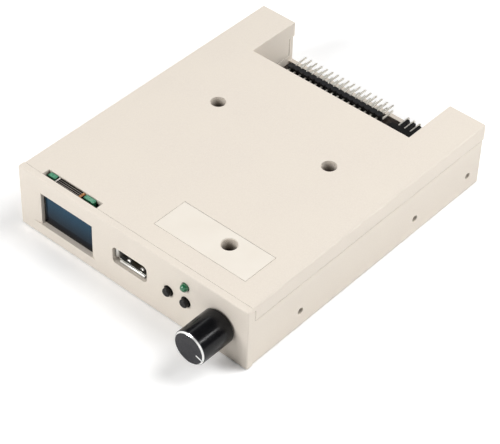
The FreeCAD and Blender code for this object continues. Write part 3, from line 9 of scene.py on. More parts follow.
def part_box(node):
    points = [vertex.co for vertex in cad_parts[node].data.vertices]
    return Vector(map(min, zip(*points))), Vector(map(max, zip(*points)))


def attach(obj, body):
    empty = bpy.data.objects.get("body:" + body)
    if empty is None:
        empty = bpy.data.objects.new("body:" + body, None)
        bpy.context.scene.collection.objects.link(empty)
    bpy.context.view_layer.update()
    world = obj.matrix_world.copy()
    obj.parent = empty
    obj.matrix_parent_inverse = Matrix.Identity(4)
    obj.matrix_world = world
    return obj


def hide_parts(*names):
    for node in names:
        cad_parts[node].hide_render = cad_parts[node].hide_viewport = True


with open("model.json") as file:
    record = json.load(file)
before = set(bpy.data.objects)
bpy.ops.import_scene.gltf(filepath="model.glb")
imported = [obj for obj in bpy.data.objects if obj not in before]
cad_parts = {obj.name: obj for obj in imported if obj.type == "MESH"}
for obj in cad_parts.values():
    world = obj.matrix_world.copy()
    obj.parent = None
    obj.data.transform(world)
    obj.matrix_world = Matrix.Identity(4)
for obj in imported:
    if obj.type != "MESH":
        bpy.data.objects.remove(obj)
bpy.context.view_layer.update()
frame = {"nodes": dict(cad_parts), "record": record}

MM = 0.001

# How a copied solid is cleaned and shaded
SAME_POINT = 0.001 * MM
FLAT_ANGLE = math.radians(0.5)
EDGE_ANGLE = math.radians(30)

# Sizes of the construction that the boxes of its pieces don't give
PIN_PITCH = 2.54 * MM
BOARD_TOP = 10.2 * MM
BEZEL_REAR = -59.4 * MM
SOCKET_WIDTH = 13.1 * MM
SOCKET_WALL = 0.3 * MM
KNOB_CHAMFER = 0.7 * MM

# Numbers that the shader nodes share. A noise mostly fills its middle span, and a wave texture of
# scale 1 has a band every pi / 10 metres.
MIDDLE = {"From Min": 0.3, "From Max": 0.7}
WAVE = math.pi / 10
METAL = {"Metallic": 1.0}

# A Mix node's sockets go by number, because their names repeat: its factor, the two colours or the
# two numbers that it mixes, and the colour that comes out.
FACTOR, FROM, TO, FROM_NUMBER, TO_NUMBER, MIXED = 0, 6, 7, 2, 3, 2

# Studio levels. To the camera alone, the floor is whiter than paper and a share of it glows, so it
# shows white and keeps its shadow. Polished pieces mirror a room that goes from dark to bright.
FLOOR_GLOW = 0.1
FLOOR_WHITE = (1.15, 1.15, 1.15, 1)
ROOM_DARK = 0.05
ROOM_BRIGHT = 1.1

# Lamps: name, place, width, length, power in watts, and whether polished pieces mirror the lamp
LAMPS = (
    ("overhead_right_softbox", (0.30, 0.30, 0.80), 0.5, 0.5, 4.0, False),
    ("rear_right_strip", (0.50, 0.47, 0.47), 0.07, 0.9, 2.3, True),
    ("rear_left_strip", (-0.42, 0.50, 0.60), 0.12, 0.7, 0.4, True),
    ("right_softbox", (0.75, -0.10, 0.35), 0.4, 0.4, 1.1, False),
    ("front_left_softbox", (-0.35, -0.75, 0.45), 0.25, 0.25, 3.2, True),
    ("front_softbox", (-0.15, -0.80, 0.60), 0.3, 0.3, 2.6, False),
    ("left_softbox", (-0.80, 0.10, 0.40), 0.5, 0.5, 1.7, False),
)


def make_camera():
    """The photograph's camera, solved from the header's pitch and the drive's outline."""
    place = Vector((313.00, -372.92, 436.90)) * MM
    target = Vector((14.97, -19.82, 12.70)) * MM
    roll = math.radians(1.832)
    lens = bpy.data.cameras.new("photo_camera")
    lens.sensor_width = 36.0
    lens.lens = 135.606
    lens.clip_start = 0.01
    lens.clip_end = 10.0
    camera = bpy.data.objects.new("photo_camera", lens)
    camera.location = place
    camera.rotation_mode = "QUATERNION"
    level = (target - place).to_track_quat("-Z", "Y")
    camera.rotation_quaternion = level @ Quaternion((0, 0, 1), roll)
    bpy.context.scene.collection.objects.link(camera)
    bpy.context.scene.camera = camera


# Shader helpers
def tone(code):
    """An sRGB hex colour as the linear values that a shader takes."""
    channels = [int(code[i:i + 2], 16) / 255 for i in (1, 3, 5)]
    linear = [c / 12.92 if c <= 0.04045 else ((c + 0.055) / 1.055) ** 2.4 for c in channels]
    return (*linear, 1.0)


def blank(name):
    """An empty material and its node tree."""
    finish = bpy.data.materials.new(name)
    finish.use_nodes = True
    finish.node_tree.nodes.clear()
    return finish, finish.node_tree


def add(tree, kind, sockets=None, **settings):
    """Adds a shader node with its settings and links, and gives its outputs."""
    node = tree.nodes.new("ShaderNode" + kind)
    for name, value in settings.items():
        setattr(node, name, value)
    for socket, value in (sockets or {}).items():
        if isinstance(value, bpy.types.NodeSocket):
            tree.links.new(value, node.inputs[socket])
        else:
            node.inputs[socket].default_value = value
    return node.outputs


# Finishes
def clouded(name, dark, light, shading, patch, smooth, rough, detail=2.0, relief=0.0):
    """A finish with a colour and a sheen that drift between two values, in patches of a size in
    mm that also stand up by the relief in mm. The real unevenness is mostly finer than 0.1 mm,
    and each patch is drawn as coarse as it needs to be to show."""
    finish, tree = blank(name)
    place = add(tree, "TexCoord")["Object"]
    cloud = add(tree, "TexNoise", {
        "Vector": place, "Scale": 1 / (patch * MM), "Detail": detail})[0]
    tint = add(tree, "MapRange", {"Value": cloud, **MIDDLE})[0]
    colour = add(tree, "Mix", {
        FACTOR: tint, FROM: tone(dark), TO: tone(light)}, data_type="RGBA")[MIXED]
    dull = add(tree, "MapRange", {
        "Value": cloud, **MIDDLE, "To Min": smooth, "To Max": rough})[0]
    sockets = {"Base Color": colour, "Roughness": dull, **shading}
    if relief:
        raised = add(tree, "Bump", {"Height": cloud, "Distance": relief * MM})
        sockets["Normal"] = raised["Normal"]
    shader = add(tree, "BsdfPrincipled", sockets)[0]
    add(tree, "OutputMaterial", {"Surface": shader})
    return finish


def moulded_abs():
    # ABS from a spark-eroded mould: an off-white matt skin with an even fine grain.
    # The real grain is about 0.05 mm across. It is drawn at 0.35 mm, so that it shows.
    # Narrow wells, holes and seams are painted dark brown, more so the more enclosed they are:
    # painted shade.
    finish, tree = blank("spark_grained_abs")
    place = add(tree, "TexCoord")["Object"]
    grain = add(tree, "TexNoise", {
        "Vector": place, "Scale": 1 / (0.35 * MM), "Detail": 3.0})[0]
    drift = add(tree, "TexNoise", {"Vector": place, "Scale": 1 / (22 * MM)})[0]
    fleck = add(tree, "MapRange", {"Value": grain, **MIDDLE})[0]
    skin = add(tree, "Mix", {
        FACTOR: fleck, FROM: tone("#E5DBCF"), TO: tone("#EBE2D6")}, data_type="RGBA")[MIXED]
    flow = add(tree, "MapRange", {"Value": drift, **MIDDLE, "To Max": 0.35})[0]
    open_skin = add(tree, "Mix", {
        FACTOR: flow, FROM: skin, TO: tone("#ECE3D5")}, data_type="RGBA")[MIXED]
    openness = add(tree, "AmbientOcclusion", {"Distance": 8 * MM}, samples=6)["AO"]
    # Painted shade: enclosed places turn dark brown.
    painted_recess_shade = add(tree, "MapRange", {"Value": openness, "From Min": 0.34, "From Max": 0.06})[0]
    colour = add(tree, "Mix", {
        FACTOR: painted_recess_shade, FROM: open_skin, TO: tone("#2B1C13")}, data_type="RGBA")[MIXED]
    dull = add(tree, "MapRange", {"Value": grain, **MIDDLE, "To Min": 0.46, "To Max": 0.58})[0]
    relief = add(tree, "Bump", {"Height": grain, "Distance": 0.012 * MM})["Normal"]
    shader = add(tree, "BsdfPrincipled", {
        "Base Color": colour, "Roughness": dull, "IOR": 1.54, "Normal": relief})[0]
    add(tree, "OutputMaterial", {"Surface": shader})
    return finish


def vinyl_label():
    # Matt coated vinyl: a shade lighter and smoother than the case, with a faint orange-peel.
    finish, tree = blank("matt_vinyl_label")
    place = add(tree, "TexCoord")["Object"]
    peel = add(tree, "TexNoise", {"Vector": place, "Scale": 1 / (0.9 * MM)})[0]
    drift = add(tree, "TexNoise", {"Vector": place, "Scale": 1 / (12 * MM)})[0]
    tint = add(tree, "MapRange", {"Value": drift, **MIDDLE})[0]
    colour = add(tree, "Mix", {
        FACTOR: tint, FROM: tone("#ECE4D8"), TO: tone("#F0E9DE")}, data_type="RGBA")[MIXED]
    dull = add(tree, "MapRange", {"Value": peel, **MIDDLE, "To Min": 0.4, "To Max": 0.5})[0]
    relief = add(tree, "Bump", {"Height": peel, "Distance": 0.006 * MM})["Normal"]
    shader = add(tree, "BsdfPrincipled", {
        "Base Color": colour, "Roughness": dull, "IOR": 1.5, "Normal": relief})[0]
    add(tree, "OutputMaterial", {"Surface": shader})
    return finish


def black_solder_mask():
    # Matt black epoxy mask over copper. The tracks under it are only just lighter than the field.
    finish, tree = blank("black_solder_mask")
    place = add(tree, "TexCoord")["Object"]
    tracks = add(tree, "TexBrick", {
        "Vector": place, "Scale": 1 / PIN_PITCH, "Mortar Size": 0.08, "Mortar Smooth": 0.2,
        "Brick Width": 1.7, "Row Height": 0.5,
        "Color1": (1, 1, 1, 1), "Color2": (0.6, 0.6, 0.6, 1), "Mortar": (0, 0, 0, 1),
    }, offset_frequency=3)["Color"]
    cloud = add(tree, "TexNoise", {"Vector": place, "Scale": 1 / (3 * MM)})[0]
    colour = add(tree, "Mix", {
        FACTOR: tracks, FROM: tone("#1B130F"), TO: tone("#271C16")}, data_type="RGBA")[MIXED]
    dull = add(tree, "MapRange", {"Value": cloud, **MIDDLE, "To Min": 0.37, "To Max": 0.49})[0]
    relief = add(tree, "Bump", {"Height": tracks, "Distance": 0.03 * MM})["Normal"]
    shader = add(tree, "BsdfPrincipled", {
        "Base Color": colour, "Roughness": dull, "IOR": 1.5, "Normal": relief})[0]
    add(tree, "OutputMaterial", {"Surface": shader})
    return finish


def green_solder_mask():
    # Glossy green epoxy mask on a thin board. A band at its top is paler than the mask: partly the
    # bare glass-epoxy of the routed edge, partly a painted highlight, as the band also runs a
    # little down the board's faces.
    finish, tree = blank("green_solder_mask")
    place = add(tree, "TexCoord")["Object"]
    board_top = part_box("display_board")[1].z
    pale_band_depth = 0.45 * MM
    height = add(tree, "SeparateXYZ", {"Vector": place})["Z"]
    # The pale band at the top: bare edge and painted highlight.
    cut = add(tree, "MapRange", {
        "Value": height, "From Min": board_top - pale_band_depth, "From Max": board_top})[0]
    weave = add(tree, "TexNoise", {"Vector": place, "Scale": 1 / (0.6 * MM), "Detail": 3.0})[0]
    cloud = add(tree, "MapRange", {"Value": weave, **MIDDLE})[0]
    mask = add(tree, "Mix", {
        FACTOR: cloud, FROM: tone("#0F4A30"), TO: tone("#1A5C3F")}, data_type="RGBA")[MIXED]
    bare_edge_and_painted_highlight = add(tree, "Mix", {
        FACTOR: cloud, FROM: tone("#3C7F60"), TO: tone("#5E9F80")}, data_type="RGBA")[MIXED]
    colour = add(tree, "Mix", {FACTOR: cut, FROM: mask, TO: bare_edge_and_painted_highlight}, data_type="RGBA")[MIXED]
    dull = add(tree, "MapRange", {"Value": weave, **MIDDLE, "To Min": 0.22, "To Max": 0.34})[0]
    relief = add(tree, "Bump", {"Height": weave, "Distance": 0.01 * MM})["Normal"]
    shader = add(tree, "BsdfPrincipled", {
        "Base Color": colour, "Roughness": dull, "IOR": 1.5, "Normal": relief,
        "Coat Weight": 0.5, "Coat Roughness": 0.12})[0]
    add(tree, "OutputMaterial", {"Surface": shader})
    return finish


def display_glass():
    # Polished glass over a polariser. The lit area mirrors the room in deep blue, as the cathode
    # behind the polariser does, inside a border printed black. Towards its foot the blue is
    # painted near black: a painted shade for the darker sill and floor that it mirrors there.
    finish, tree = blank("polarised_display_glass")
    place = add(tree, "TexCoord")["Object"]
    low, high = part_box("display_front_glass")
    above_middle = 0.7 * MM
    half_width = 11.3 * MM
    half_height = 6.3 * MM
    blur = 0.15 * MM
    middle = (low + high) / 2 + Vector((0, 0, above_middle))
    centred = add(tree, "Mapping", {"Vector": place, "Location": -middle})[0]
    parts = add(tree, "SeparateXYZ", {"Vector": centred})
    across = add(tree, "Math", {0: parts["X"]}, operation="ABSOLUTE")[0]
    upward = add(tree, "Math", {0: parts["Z"]}, operation="ABSOLUTE")[0]
    wide = add(tree, "MapRange", {
        "Value": across, "From Min": half_width, "From Max": half_width - blur})[0]
    tall = add(tree, "MapRange", {
        "Value": upward, "From Min": half_height, "From Max": half_height - blur})[0]
    lit = add(tree, "Math", {0: wide, 1: tall}, operation="MULTIPLY")[0]
    cloud = add(tree, "TexNoise", {"Vector": place, "Scale": 1 / (6 * MM)})[0]
    tint = add(tree, "MapRange", {"Value": cloud, **MIDDLE})[0]
    # Painted shade: the lit area darkens to near black towards its foot.
    painted_foot_shade = add(tree, "MapRange", {
        "Value": parts["Z"], "From Min": -half_height, "From Max": 0.4 * half_height})[0]
    sheen = add(tree, "Mix", {
        FACTOR: tint, FROM: tone("#21485F"), TO: tone("#264C66")}, data_type="RGBA")[MIXED]
    blue_with_painted_foot_shade = add(tree, "Mix", {
        FACTOR: painted_foot_shade, FROM: tone("#16141C"), TO: sheen}, data_type="RGBA")[MIXED]
    colour = add(tree, "Mix", {
        FACTOR: lit, FROM: tone("#060607"), TO: blue_with_painted_foot_shade}, data_type="RGBA")[MIXED]
    mirror = add(tree, "Math", {0: lit, 1: 0.85}, operation="MULTIPLY")[0]
    smooth = add(tree, "MapRange", {
        "Value": cloud, **MIDDLE, "To Min": 0.05, "To Max": 0.09})[0]
    shader = add(tree, "BsdfPrincipled", {
        "Base Color": colour, "Metallic": mirror, "Roughness": smooth, "IOR": 1.5,
        "Specular IOR Level": 0.4})[0]
    add(tree, "OutputMaterial", {"Surface": shader})
    return finish


def foam_tape():
    # Black acrylic foam tape: dull, with open cells.
    finish, tree = blank("black_foam_tape")
    place = add(tree, "TexCoord")["Object"]
    cells = add(tree, "TexVoronoi", {"Vector": place, "Scale": 1 / (0.3 * MM)})["Distance"]
    colour = add(tree, "Mix", {
        FACTOR: cells, FROM: tone("#1B1B1B"), TO: tone("#2B2A29")}, data_type="RGBA")[MIXED]
    relief = add(tree, "Bump", {"Height": cells, "Distance": 0.05 * MM})["Normal"]
    shader = add(tree, "BsdfPrincipled", {
        "Base Color": colour, "Roughness": 0.9, "Normal": relief})[0]
    add(tree, "OutputMaterial", {"Surface": shader})
    return finish


def polyimide_flex():
    # Black coverlay on polyimide film: brown-black, with thin lines where the copper tracks lift
    # it. The pale colour of the lines is a painted highlight. The real lines are closer together.
    # They are drawn 0.8 mm apart, so that they show.
    finish, tree = blank("black_polyimide_flex")
    place = add(tree, "TexCoord")["Object"]
    track_and_highlight_wave = add(tree, "TexWave", {
        "Vector": place, "Scale": WAVE / (0.8 * MM)}, bands_direction="Y")["Fac"]
    cloud = add(tree, "TexNoise", {"Vector": place, "Scale": 1 / (1.5 * MM)})[0]
    # Painted highlight: each track line is coloured pale grey.
    line = add(tree, "MapRange", {"Value": track_and_highlight_wave, "From Min": 0.86, "From Max": 1.0})[0]
    colour = add(tree, "Mix", {
        FACTOR: line, FROM: tone("#060403"), TO: tone("#B0A8A0")}, data_type="RGBA")[MIXED]
    dull = add(tree, "MapRange", {"Value": cloud, **MIDDLE, "To Min": 0.3, "To Max": 0.42})[0]
    relief = add(tree, "Bump", {"Height": track_and_highlight_wave, "Distance": 0.02 * MM})["Normal"]
    shader = add(tree, "BsdfPrincipled", {
        "Base Color": colour, "Roughness": dull, "IOR": 1.6, "Specular IOR Level": 0.07,
        "Normal": relief})[0]
    add(tree, "OutputMaterial", {"Surface": shader})
    return finish


def bright_tinned_steel():
    # Bright-tinned steel strip, stamped and folded: a bright satin, with fine rolling lines.
    finish, tree = blank("bright_tinned_steel")
    place = add(tree, "TexCoord")["Object"]
    lines = add(tree, "TexWave", {
        "Vector": place, "Scale": WAVE / (0.12 * MM)}, bands_direction="Z")["Fac"]
    cloud = add(tree, "TexNoise", {"Vector": place, "Scale": 1 / (1.2 * MM)})[0]
    tint = add(tree, "MapRange", {"Value": cloud, **MIDDLE})[0]
    colour = add(tree, "Mix", {
        FACTOR: tint, FROM: tone("#D8D6D1"), TO: tone("#E8E7E3")}, data_type="RGBA")[MIXED]
    dull = add(tree, "MapRange", {"Value": cloud, **MIDDLE, "To Min": 0.28, "To Max": 0.36})[0]
    relief = add(tree, "Bump", {"Height": lines, "Distance": 0.001 * MM})["Normal"]
    shader = add(tree, "BsdfPrincipled", {
        "Base Color": colour, "Roughness": dull, "Normal": relief, **METAL})[0]
    add(tree, "OutputMaterial", {"Surface": shader})
    return finish


def turned_aluminium():
    # Plain turned aluminium: fine tool lines round the shaft.
    finish, tree = blank("turned_aluminium")
    place = add(tree, "TexCoord")["Object"]
    lines = add(tree, "TexWave", {
        "Vector": place, "Scale": WAVE / (0.18 * MM)}, bands_direction="Y")["Fac"]
    colour = add(tree, "Mix", {
        FACTOR: lines, FROM: tone("#C6C7C8"), TO: tone("#D6D7D8")}, data_type="RGBA")[MIXED]
    dull = add(tree, "MapRange", {"Value": lines, "To Min": 0.24, "To Max": 0.34})[0]
    relief = add(tree, "Bump", {"Height": lines, "Distance": 0.004 * MM})["Normal"]
    shader = add(tree, "BsdfPrincipled", {
        "Base Color": colour, "Roughness": dull, "Normal": relief, **METAL})[0]
    add(tree, "OutputMaterial", {"Surface": shader})
    return finish


def black_anodised():
    # Turned aluminium, anodised black, its front edge then cut bright. The face has fine rings,
    # about 0.05 mm apart on the real one and drawn at 0.3 mm; the side has finer lines round it.
    # The side is near black. The face is painted dark grey, a painted sheen for the light that its
    # turned rings scatter.
    finish, tree = blank("black_anodised_aluminium")
    place = add(tree, "TexCoord")["Object"]
    low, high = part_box("knob")
    axis = (low + high) / 2
    face_radius = high.x - axis.x - KNOB_CHAMFER
    bright_width = 0.5 * MM
    past_face = 0.03 * MM
    past_chamfer = 0.1 * MM
    ring_pitch = 0.3 * MM
    line_pitch = 0.22 * MM
    centred = add(tree, "Mapping", {
        "Vector": place, "Location": (-axis.x, -low.y, -axis.z)})[0]
    parts = add(tree, "SeparateXYZ", {"Vector": centred})
    flat = add(tree, "CombineXYZ", {"X": parts["X"], "Z": parts["Z"]})[0]
    radius = add(tree, "VectorMath", {0: flat}, operation="LENGTH")["Value"]
    outside = add(tree, "Math", {
        0: radius, 1: face_radius + past_face}, operation="GREATER_THAN")[0]
    ahead = add(tree, "Math", {0: parts["Y"], 1: bright_width}, operation="LESS_THAN")[0]
    cut = add(tree, "Math", {0: outside, 1: ahead}, operation="MULTIPLY")[0]
    turn = add(tree, "Math", {0: radius, 1: 2 * math.pi / ring_pitch}, operation="MULTIPLY")[0]
    rings = add(tree, "Math", {0: turn}, operation="SINE")[0]
    lines = add(tree, "TexWave", {
        "Vector": centred, "Scale": WAVE / line_pitch}, bands_direction="Y")["Fac"]
    on_side = add(tree, "Math", {
        0: parts["Y"], 1: KNOB_CHAMFER + past_chamfer}, operation="GREATER_THAN")[0]
    marks = add(tree, "Mix", {FACTOR: on_side, FROM_NUMBER: rings, TO_NUMBER: lines})[0]
    cloud = add(tree, "TexNoise", {"Vector": place, "Scale": 1 / (1.5 * MM)})[0]
    tint = add(tree, "MapRange", {"Value": cloud, **MIDDLE})[0]
    deep = add(tree, "Mix", {
        FACTOR: tint, FROM: tone("#0D0D0F"), TO: tone("#131316")}, data_type="RGBA")[MIXED]
    # Painted sheen: the face is coloured grey, lighter than the side.
    face_painted_sheen = add(tree, "Mix", {
        FACTOR: tint, FROM: tone("#232227"), TO: tone("#29282D")}, data_type="RGBA")[MIXED]
    dye_and_painted_sheen = add(tree, "Mix", {FACTOR: on_side, FROM: face_painted_sheen, TO: deep}, data_type="RGBA")[MIXED]
    colour = add(tree, "Mix", {
        FACTOR: cut, FROM: dye_and_painted_sheen, TO: tone("#F4F4F2")}, data_type="RGBA")[MIXED]
    satin = add(tree, "MapRange", {"Value": cloud, **MIDDLE, "To Min": 0.2, "To Max": 0.24})[0]
    dull = add(tree, "Mix", {FACTOR: cut, FROM_NUMBER: satin, TO_NUMBER: 0.22})[0]
    relief = add(tree, "Bump", {"Height": marks, "Distance": 0.0025 * MM})["Normal"]
    shader = add(tree, "BsdfPrincipled", {
        "Base Color": colour, "Metallic": cut, "Roughness": dull, "IOR": 1.36,
        "Normal": relief})[0]
    add(tree, "OutputMaterial", {"Surface": shader})
    return finish


finishes = {
    "case_plastic": moulded_abs(),
    "label_film": vinyl_label(),
    "black_board": black_solder_mask(),
    "green_board": green_solder_mask(),
    "display_glass": display_glass(),
    "foam_tape": foam_tape(),
    "flex_film": polyimide_flex(),
    "tinned_steel": bright_tinned_steel(),
    "machined_aluminium": turned_aluminium(),
    "black_anodised": black_anodised(),
    # Zinc-plated screw steel: grey, slightly streaked from rolling the thread.
    "screw_steel": clouded(
        "zinc_plated_steel", "#5E5B56", "#7B7771", METAL,
        patch=0.5, detail=4.0, smooth=0.3, rough=0.45, relief=0.01),
    # Amber polyimide tape over copper: a glossy orange-brown.
    "amber_tape": clouded(
        "amber_polyimide_tape", "#8E5A33", "#D09C6C", {"IOR": 1.6},
        patch=0.6, smooth=0.2, rough=0.35),
    # White epoxy ink, slightly raised and not quite even.
    "white_ink": clouded(
        "white_epoxy_ink", "#CFC8C2", "#E6E1DA", {"IOR": 1.5},
        patch=0.5, detail=3.0, smooth=0.45, rough=0.6, relief=0.004),
    # Glass-filled black nylon from a polished mould: charcoal, with a satin bloom.
    "black_nylon": clouded(
        "glass_filled_black_nylon", "#121214", "#1B1B1E", {"IOR": 1.53},
        patch=0.45, detail=3.0, smooth=0.4, rough=0.54, relief=0.008),
    # Black polyester of a power header: a flatter, deeper black than the nylon beside it.
    "black_polyester": clouded(
        "moulded_black_polyester", "#070707", "#0D0D0D", {"IOR": 1.53},
        patch=0.45, detail=3.0, smooth=0.49, rough=0.63, relief=0.008),
    # Natural nylon: milky white, satin.
    "white_nylon": clouded(
        "natural_nylon", "#DEDAD0", "#E9E6DD", {"IOR": 1.53},
        patch=0.45, detail=3.0, smooth=0.34, rough=0.48, relief=0.008),
    # White acetal: waxy and a little glossier than nylon.
    "white_acetal": clouded(
        "white_acetal", "#E2E0DA", "#EDECE7", {"IOR": 1.53},
        patch=0.45, detail=3.0, smooth=0.24, rough=0.38, relief=0.008),
    # Flash gold over nickel on a spring contact: a warm, slightly veiled yellow.
    "gold_contact": clouded(
        "flash_gold_plating", "#C9A24F", "#E0BE6E", METAL,
        patch=0.5, smooth=0.2, rough=0.32),
    # Black moulded button: near black on its side, with a satin face.
    "black_button": clouded(
        "satin_black_button", "#080808", "#0E0E0E", {"IOR": 1.5, "Specular IOR Level": 0.3},
        patch=0.4, detail=3.0, smooth=0.26, rough=0.38, relief=0.006),
    # Diffused green epoxy of a lamp: deep green inside a glossy clear skin.
    "green_lens": clouded(
        "diffused_green_epoxy", "#186440", "#248054",
        {"IOR": 1.53, "Coat Weight": 0.9, "Coat Roughness": 0.04},
        patch=0.8, smooth=0.12, rough=0.2),
    # Nickel-plated zinc casting: soft grey with a slightly pebbled skin.
    "zinc_casting": clouded(
        "nickel_plated_zinc", "#A9A7A2", "#BEBCB6", METAL,
        patch=0.6, detail=3.0, smooth=0.34, rough=0.48, relief=0.015),
    # Nickel over brass on a thin nut: warm bright grey.
    "nickel_brass": clouded(
        "nickel_plated_brass", "#BDB6A8", "#CEC8BC", METAL,
        patch=0.7, smooth=0.22, rough=0.34),
    # White enamel run into the engraved line: a clean white, a little uneven.
    "white_paint": clouded(
        "white_enamel", "#F2F2F0", "#FBFBF9", {"IOR": 1.5},
        patch=0.3, smooth=0.3, rough=0.4, relief=0.01),
    # Matt-tinned brass pin: pale and milky, as its fine tin crystals scatter much of the light.
    "tinned_pins": clouded(
        "matt_tinned_brass", "#E2DDD2", "#F0EDE4", {"Metallic": 0.7},
        patch=0.5, detail=3.0, smooth=0.34, rough=0.46, relief=0.004),
    # Lead-free solder: bright, with slightly frosted flow lines.
    "solder": clouded(
        "tin_silver_solder", "#D2D2CF", "#E8E8E5", METAL,
        patch=0.25, detail=4.0, smooth=0.25, rough=0.45, relief=0.01),
    # Transfer-moulded epoxy: dark grey with silica specks.
    "chip_epoxy": clouded(
        "silica_filled_epoxy", "#1E1E1F", "#2C2C2D", {"IOR": 1.5},
        patch=0.2, detail=4.0, smooth=0.55, rough=0.7, relief=0.008),
    # Drawn aluminium can under a clear lacquer: pale, with a soft even shine.
    "capacitor_can": clouded(
        "drawn_aluminium_can", "#C9CACB", "#DBDCDC", METAL,
        patch=0.8, smooth=0.25, rough=0.36),
    # Fired ceramic chip: tan and dead matt.
    "ceramic_body": clouded(
        "fired_ceramic", "#8E7555", "#A68C68", {"IOR": 1.5},
        patch=0.15, detail=3.0, smooth=0.6, rough=0.75),
    # Black PVC over stranded wire: soft sheen and a slightly uneven skin.
    "lead_insulation": clouded(
        "black_pvc", "#161616", "#222222", {"IOR": 1.53},
        patch=0.4, smooth=0.42, rough=0.55, relief=0.01),
}


# Pieces
slot_of = {part["node"]: part["material_slot"] for part in frame["record"]["subparts"]}
nodes_of = frame["record"]["behaviour"]["bodies"]
body_of = {node: body for body, nodes in nodes_of.items() for node in nodes}


def dress_solids():
    """Every solid of the construction wears the finish of its material slot."""
    for node, solid in frame["nodes"].items():
        solid.material_slots[0].material = finishes[slot_of[node]]


def finished_piece(form, name, finish, body="root"):
    """Makes a piece of a finished form. Its place is in its mesh, and it rides on a body."""
    mesh = bpy.data.meshes.new(name)
    form.to_mesh(mesh)
    form.free()
    imported_normals = mesh.attributes.get("custom_normal")
    if imported_normals:
        mesh.attributes.remove(imported_normals)
    mesh.shade_smooth()
    mesh.set_sharp_from_angle(angle=EDGE_ANGLE)
    mesh.materials.clear()
    mesh.materials.append(finish)
    piece = bpy.data.objects.new(name, mesh)
    bpy.context.scene.collection.objects.link(piece)
    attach(piece, body)
    return piece


def soft_edged(node, name, radius, segments=2, finish=None, kept_y=None):
    """Stands a copy of a solid in its place, with its sharp edges rounded as the real ones are.
    The edges that lie in the plane y = kept_y stay sharp."""
    form = bmesh.new()
    form.from_mesh(frame["nodes"][node].data)
    bmesh.ops.remove_doubles(form, verts=form.verts, dist=SAME_POINT)
    bmesh.ops.dissolve_limit(form, angle_limit=FLAT_ANGLE, verts=form.verts, edges=form.edges)
    rounding = form.edges.layers.float.new("bevel_weight_edge")
    for edge in form.edges:
        kept = kept_y is not None and all(
            abs(end.co.y - kept_y) < SAME_POINT for end in edge.verts)
        edge[rounding] = 0 if kept or edge.calc_face_angle(0) < EDGE_ANGLE else 1
    piece = finished_piece(form, name, finish or finishes[slot_of[node]], body_of[node])
    bevel = piece.modifiers.new("rounded edges", "BEVEL")
    bevel.width = radius
    bevel.segments = segments
    bevel.limit_method = "WEIGHT"
    # Clamped, the shortest edge would hold back the rounding of them all.
    bevel.use_clamp_overlap = False
    bevel.harden_normals = True
    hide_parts(node)


def soften_solids():
    """The seen pieces, each with the edge radius of its kind. Rounded, the tray's edges on the
    bezel's rear face would throw spikes past the case."""
    soft_edged("top_cover", "cover_shell", 0.16 * MM)
    soft_edged("bottom_tray", "tray_shell", 0.14 * MM, kept_y=BEZEL_REAR)
    soft_edged("blank_label", "label_sheet", 0.05 * MM, 1)
    soft_edged("cover_screws", "cover_screw_set", 0.12 * MM)
    soft_edged("usb_shell", "usb_socket_shell", 0.07 * MM)
    soft_edged("usb_tongue", "usb_socket_tongue", 0.1 * MM)
    soft_edged("display_board", "display_circuit_board", 0.08 * MM)
    soft_edged("button_1", "push_button_1", 0.1 * MM)
    soft_edged("button_2", "push_button_2", 0.1 * MM)
    soft_edged("knob", "knob_body", 0.05 * MM)
    soft_edged("floppy_header", "data_header_body", 0.1 * MM, 1)
    soft_edged("floppy_header_pins", "data_header_pins", 0.1 * MM, 1)
    soft_edged("power_header", "power_header_body", 0.1 * MM, 1, finishes["black_polyester"])
    soft_edged("power_header_pins", "power_pins", 0.1 * MM, 1)


def sweep(form, line, width):
    """Sweeps a line of points along X into a strip of a width."""
    points = [form.verts.new(point) for point in line]
    edges = [form.edges.new(pair) for pair in zip(points, points[1:])]
    swept = bmesh.ops.extrude_edge_only(form, edges=edges)
    moved = [part for part in swept["geom"] if isinstance(part, bmesh.types.BMVert)]
    bmesh.ops.translate(form, verts=moved, vec=(width, 0, 0))


def thicken(piece, thickness, offset):
    """Gives a surface its sheet's thickness: behind it at offset -1, on both sides at 0."""
    sheet = piece.modifiers.new("sheet", "SOLIDIFY")
    sheet.thickness = thickness
    sheet.offset = offset


def swept_film(name, line, left, right, thickness, finish):
    """A film that follows a line of (y, z) points, from its left edge to its right."""
    form = bmesh.new()
    sweep(form, [(left, y, z) for y, z in line], right - left)
    bmesh.ops.recalc_face_normals(form, faces=form.faces)
    piece = finished_piece(form, name, finish)
    thicken(piece, thickness, -1)
    return piece


def fold_line(inset, ridge):
    """The flex tail's path: up in front of the board, over its top in two shallow waves as deep
    as the ridge, and down behind it."""
    low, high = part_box("display_flex")
    front, rear, top = low.y + inset, high.y - inset, high.z - inset
    front_radius = 0.9 * MM - inset
    rear_radius = 0.4 * MM
    bend_steps = 8
    top_steps = 24
    waves = 2
    line = [(front, low.z)]
    for i in range(bend_steps + 1):
        turn = math.pi / 2 * i / bend_steps
        line.append((front + front_radius * (1 - math.cos(turn)),
                     top - front_radius * (1 - math.sin(turn))))
    start, end = front + front_radius, rear - rear_radius
    for i in range(1, top_steps):
        part = i / top_steps
        sink = ridge * (0.5 - 0.5 * math.cos(2 * math.pi * waves * part))
        line.append((start + (end - start) * part, top - sink))
    for i in range(bend_steps + 1):
        turn = math.pi / 2 * (1 - i / bend_steps)
        line.append((rear - rear_radius * (1 - math.cos(turn)),
                     top - rear_radius * (1 - math.sin(turn))))
    return line + [(rear, low.z)]


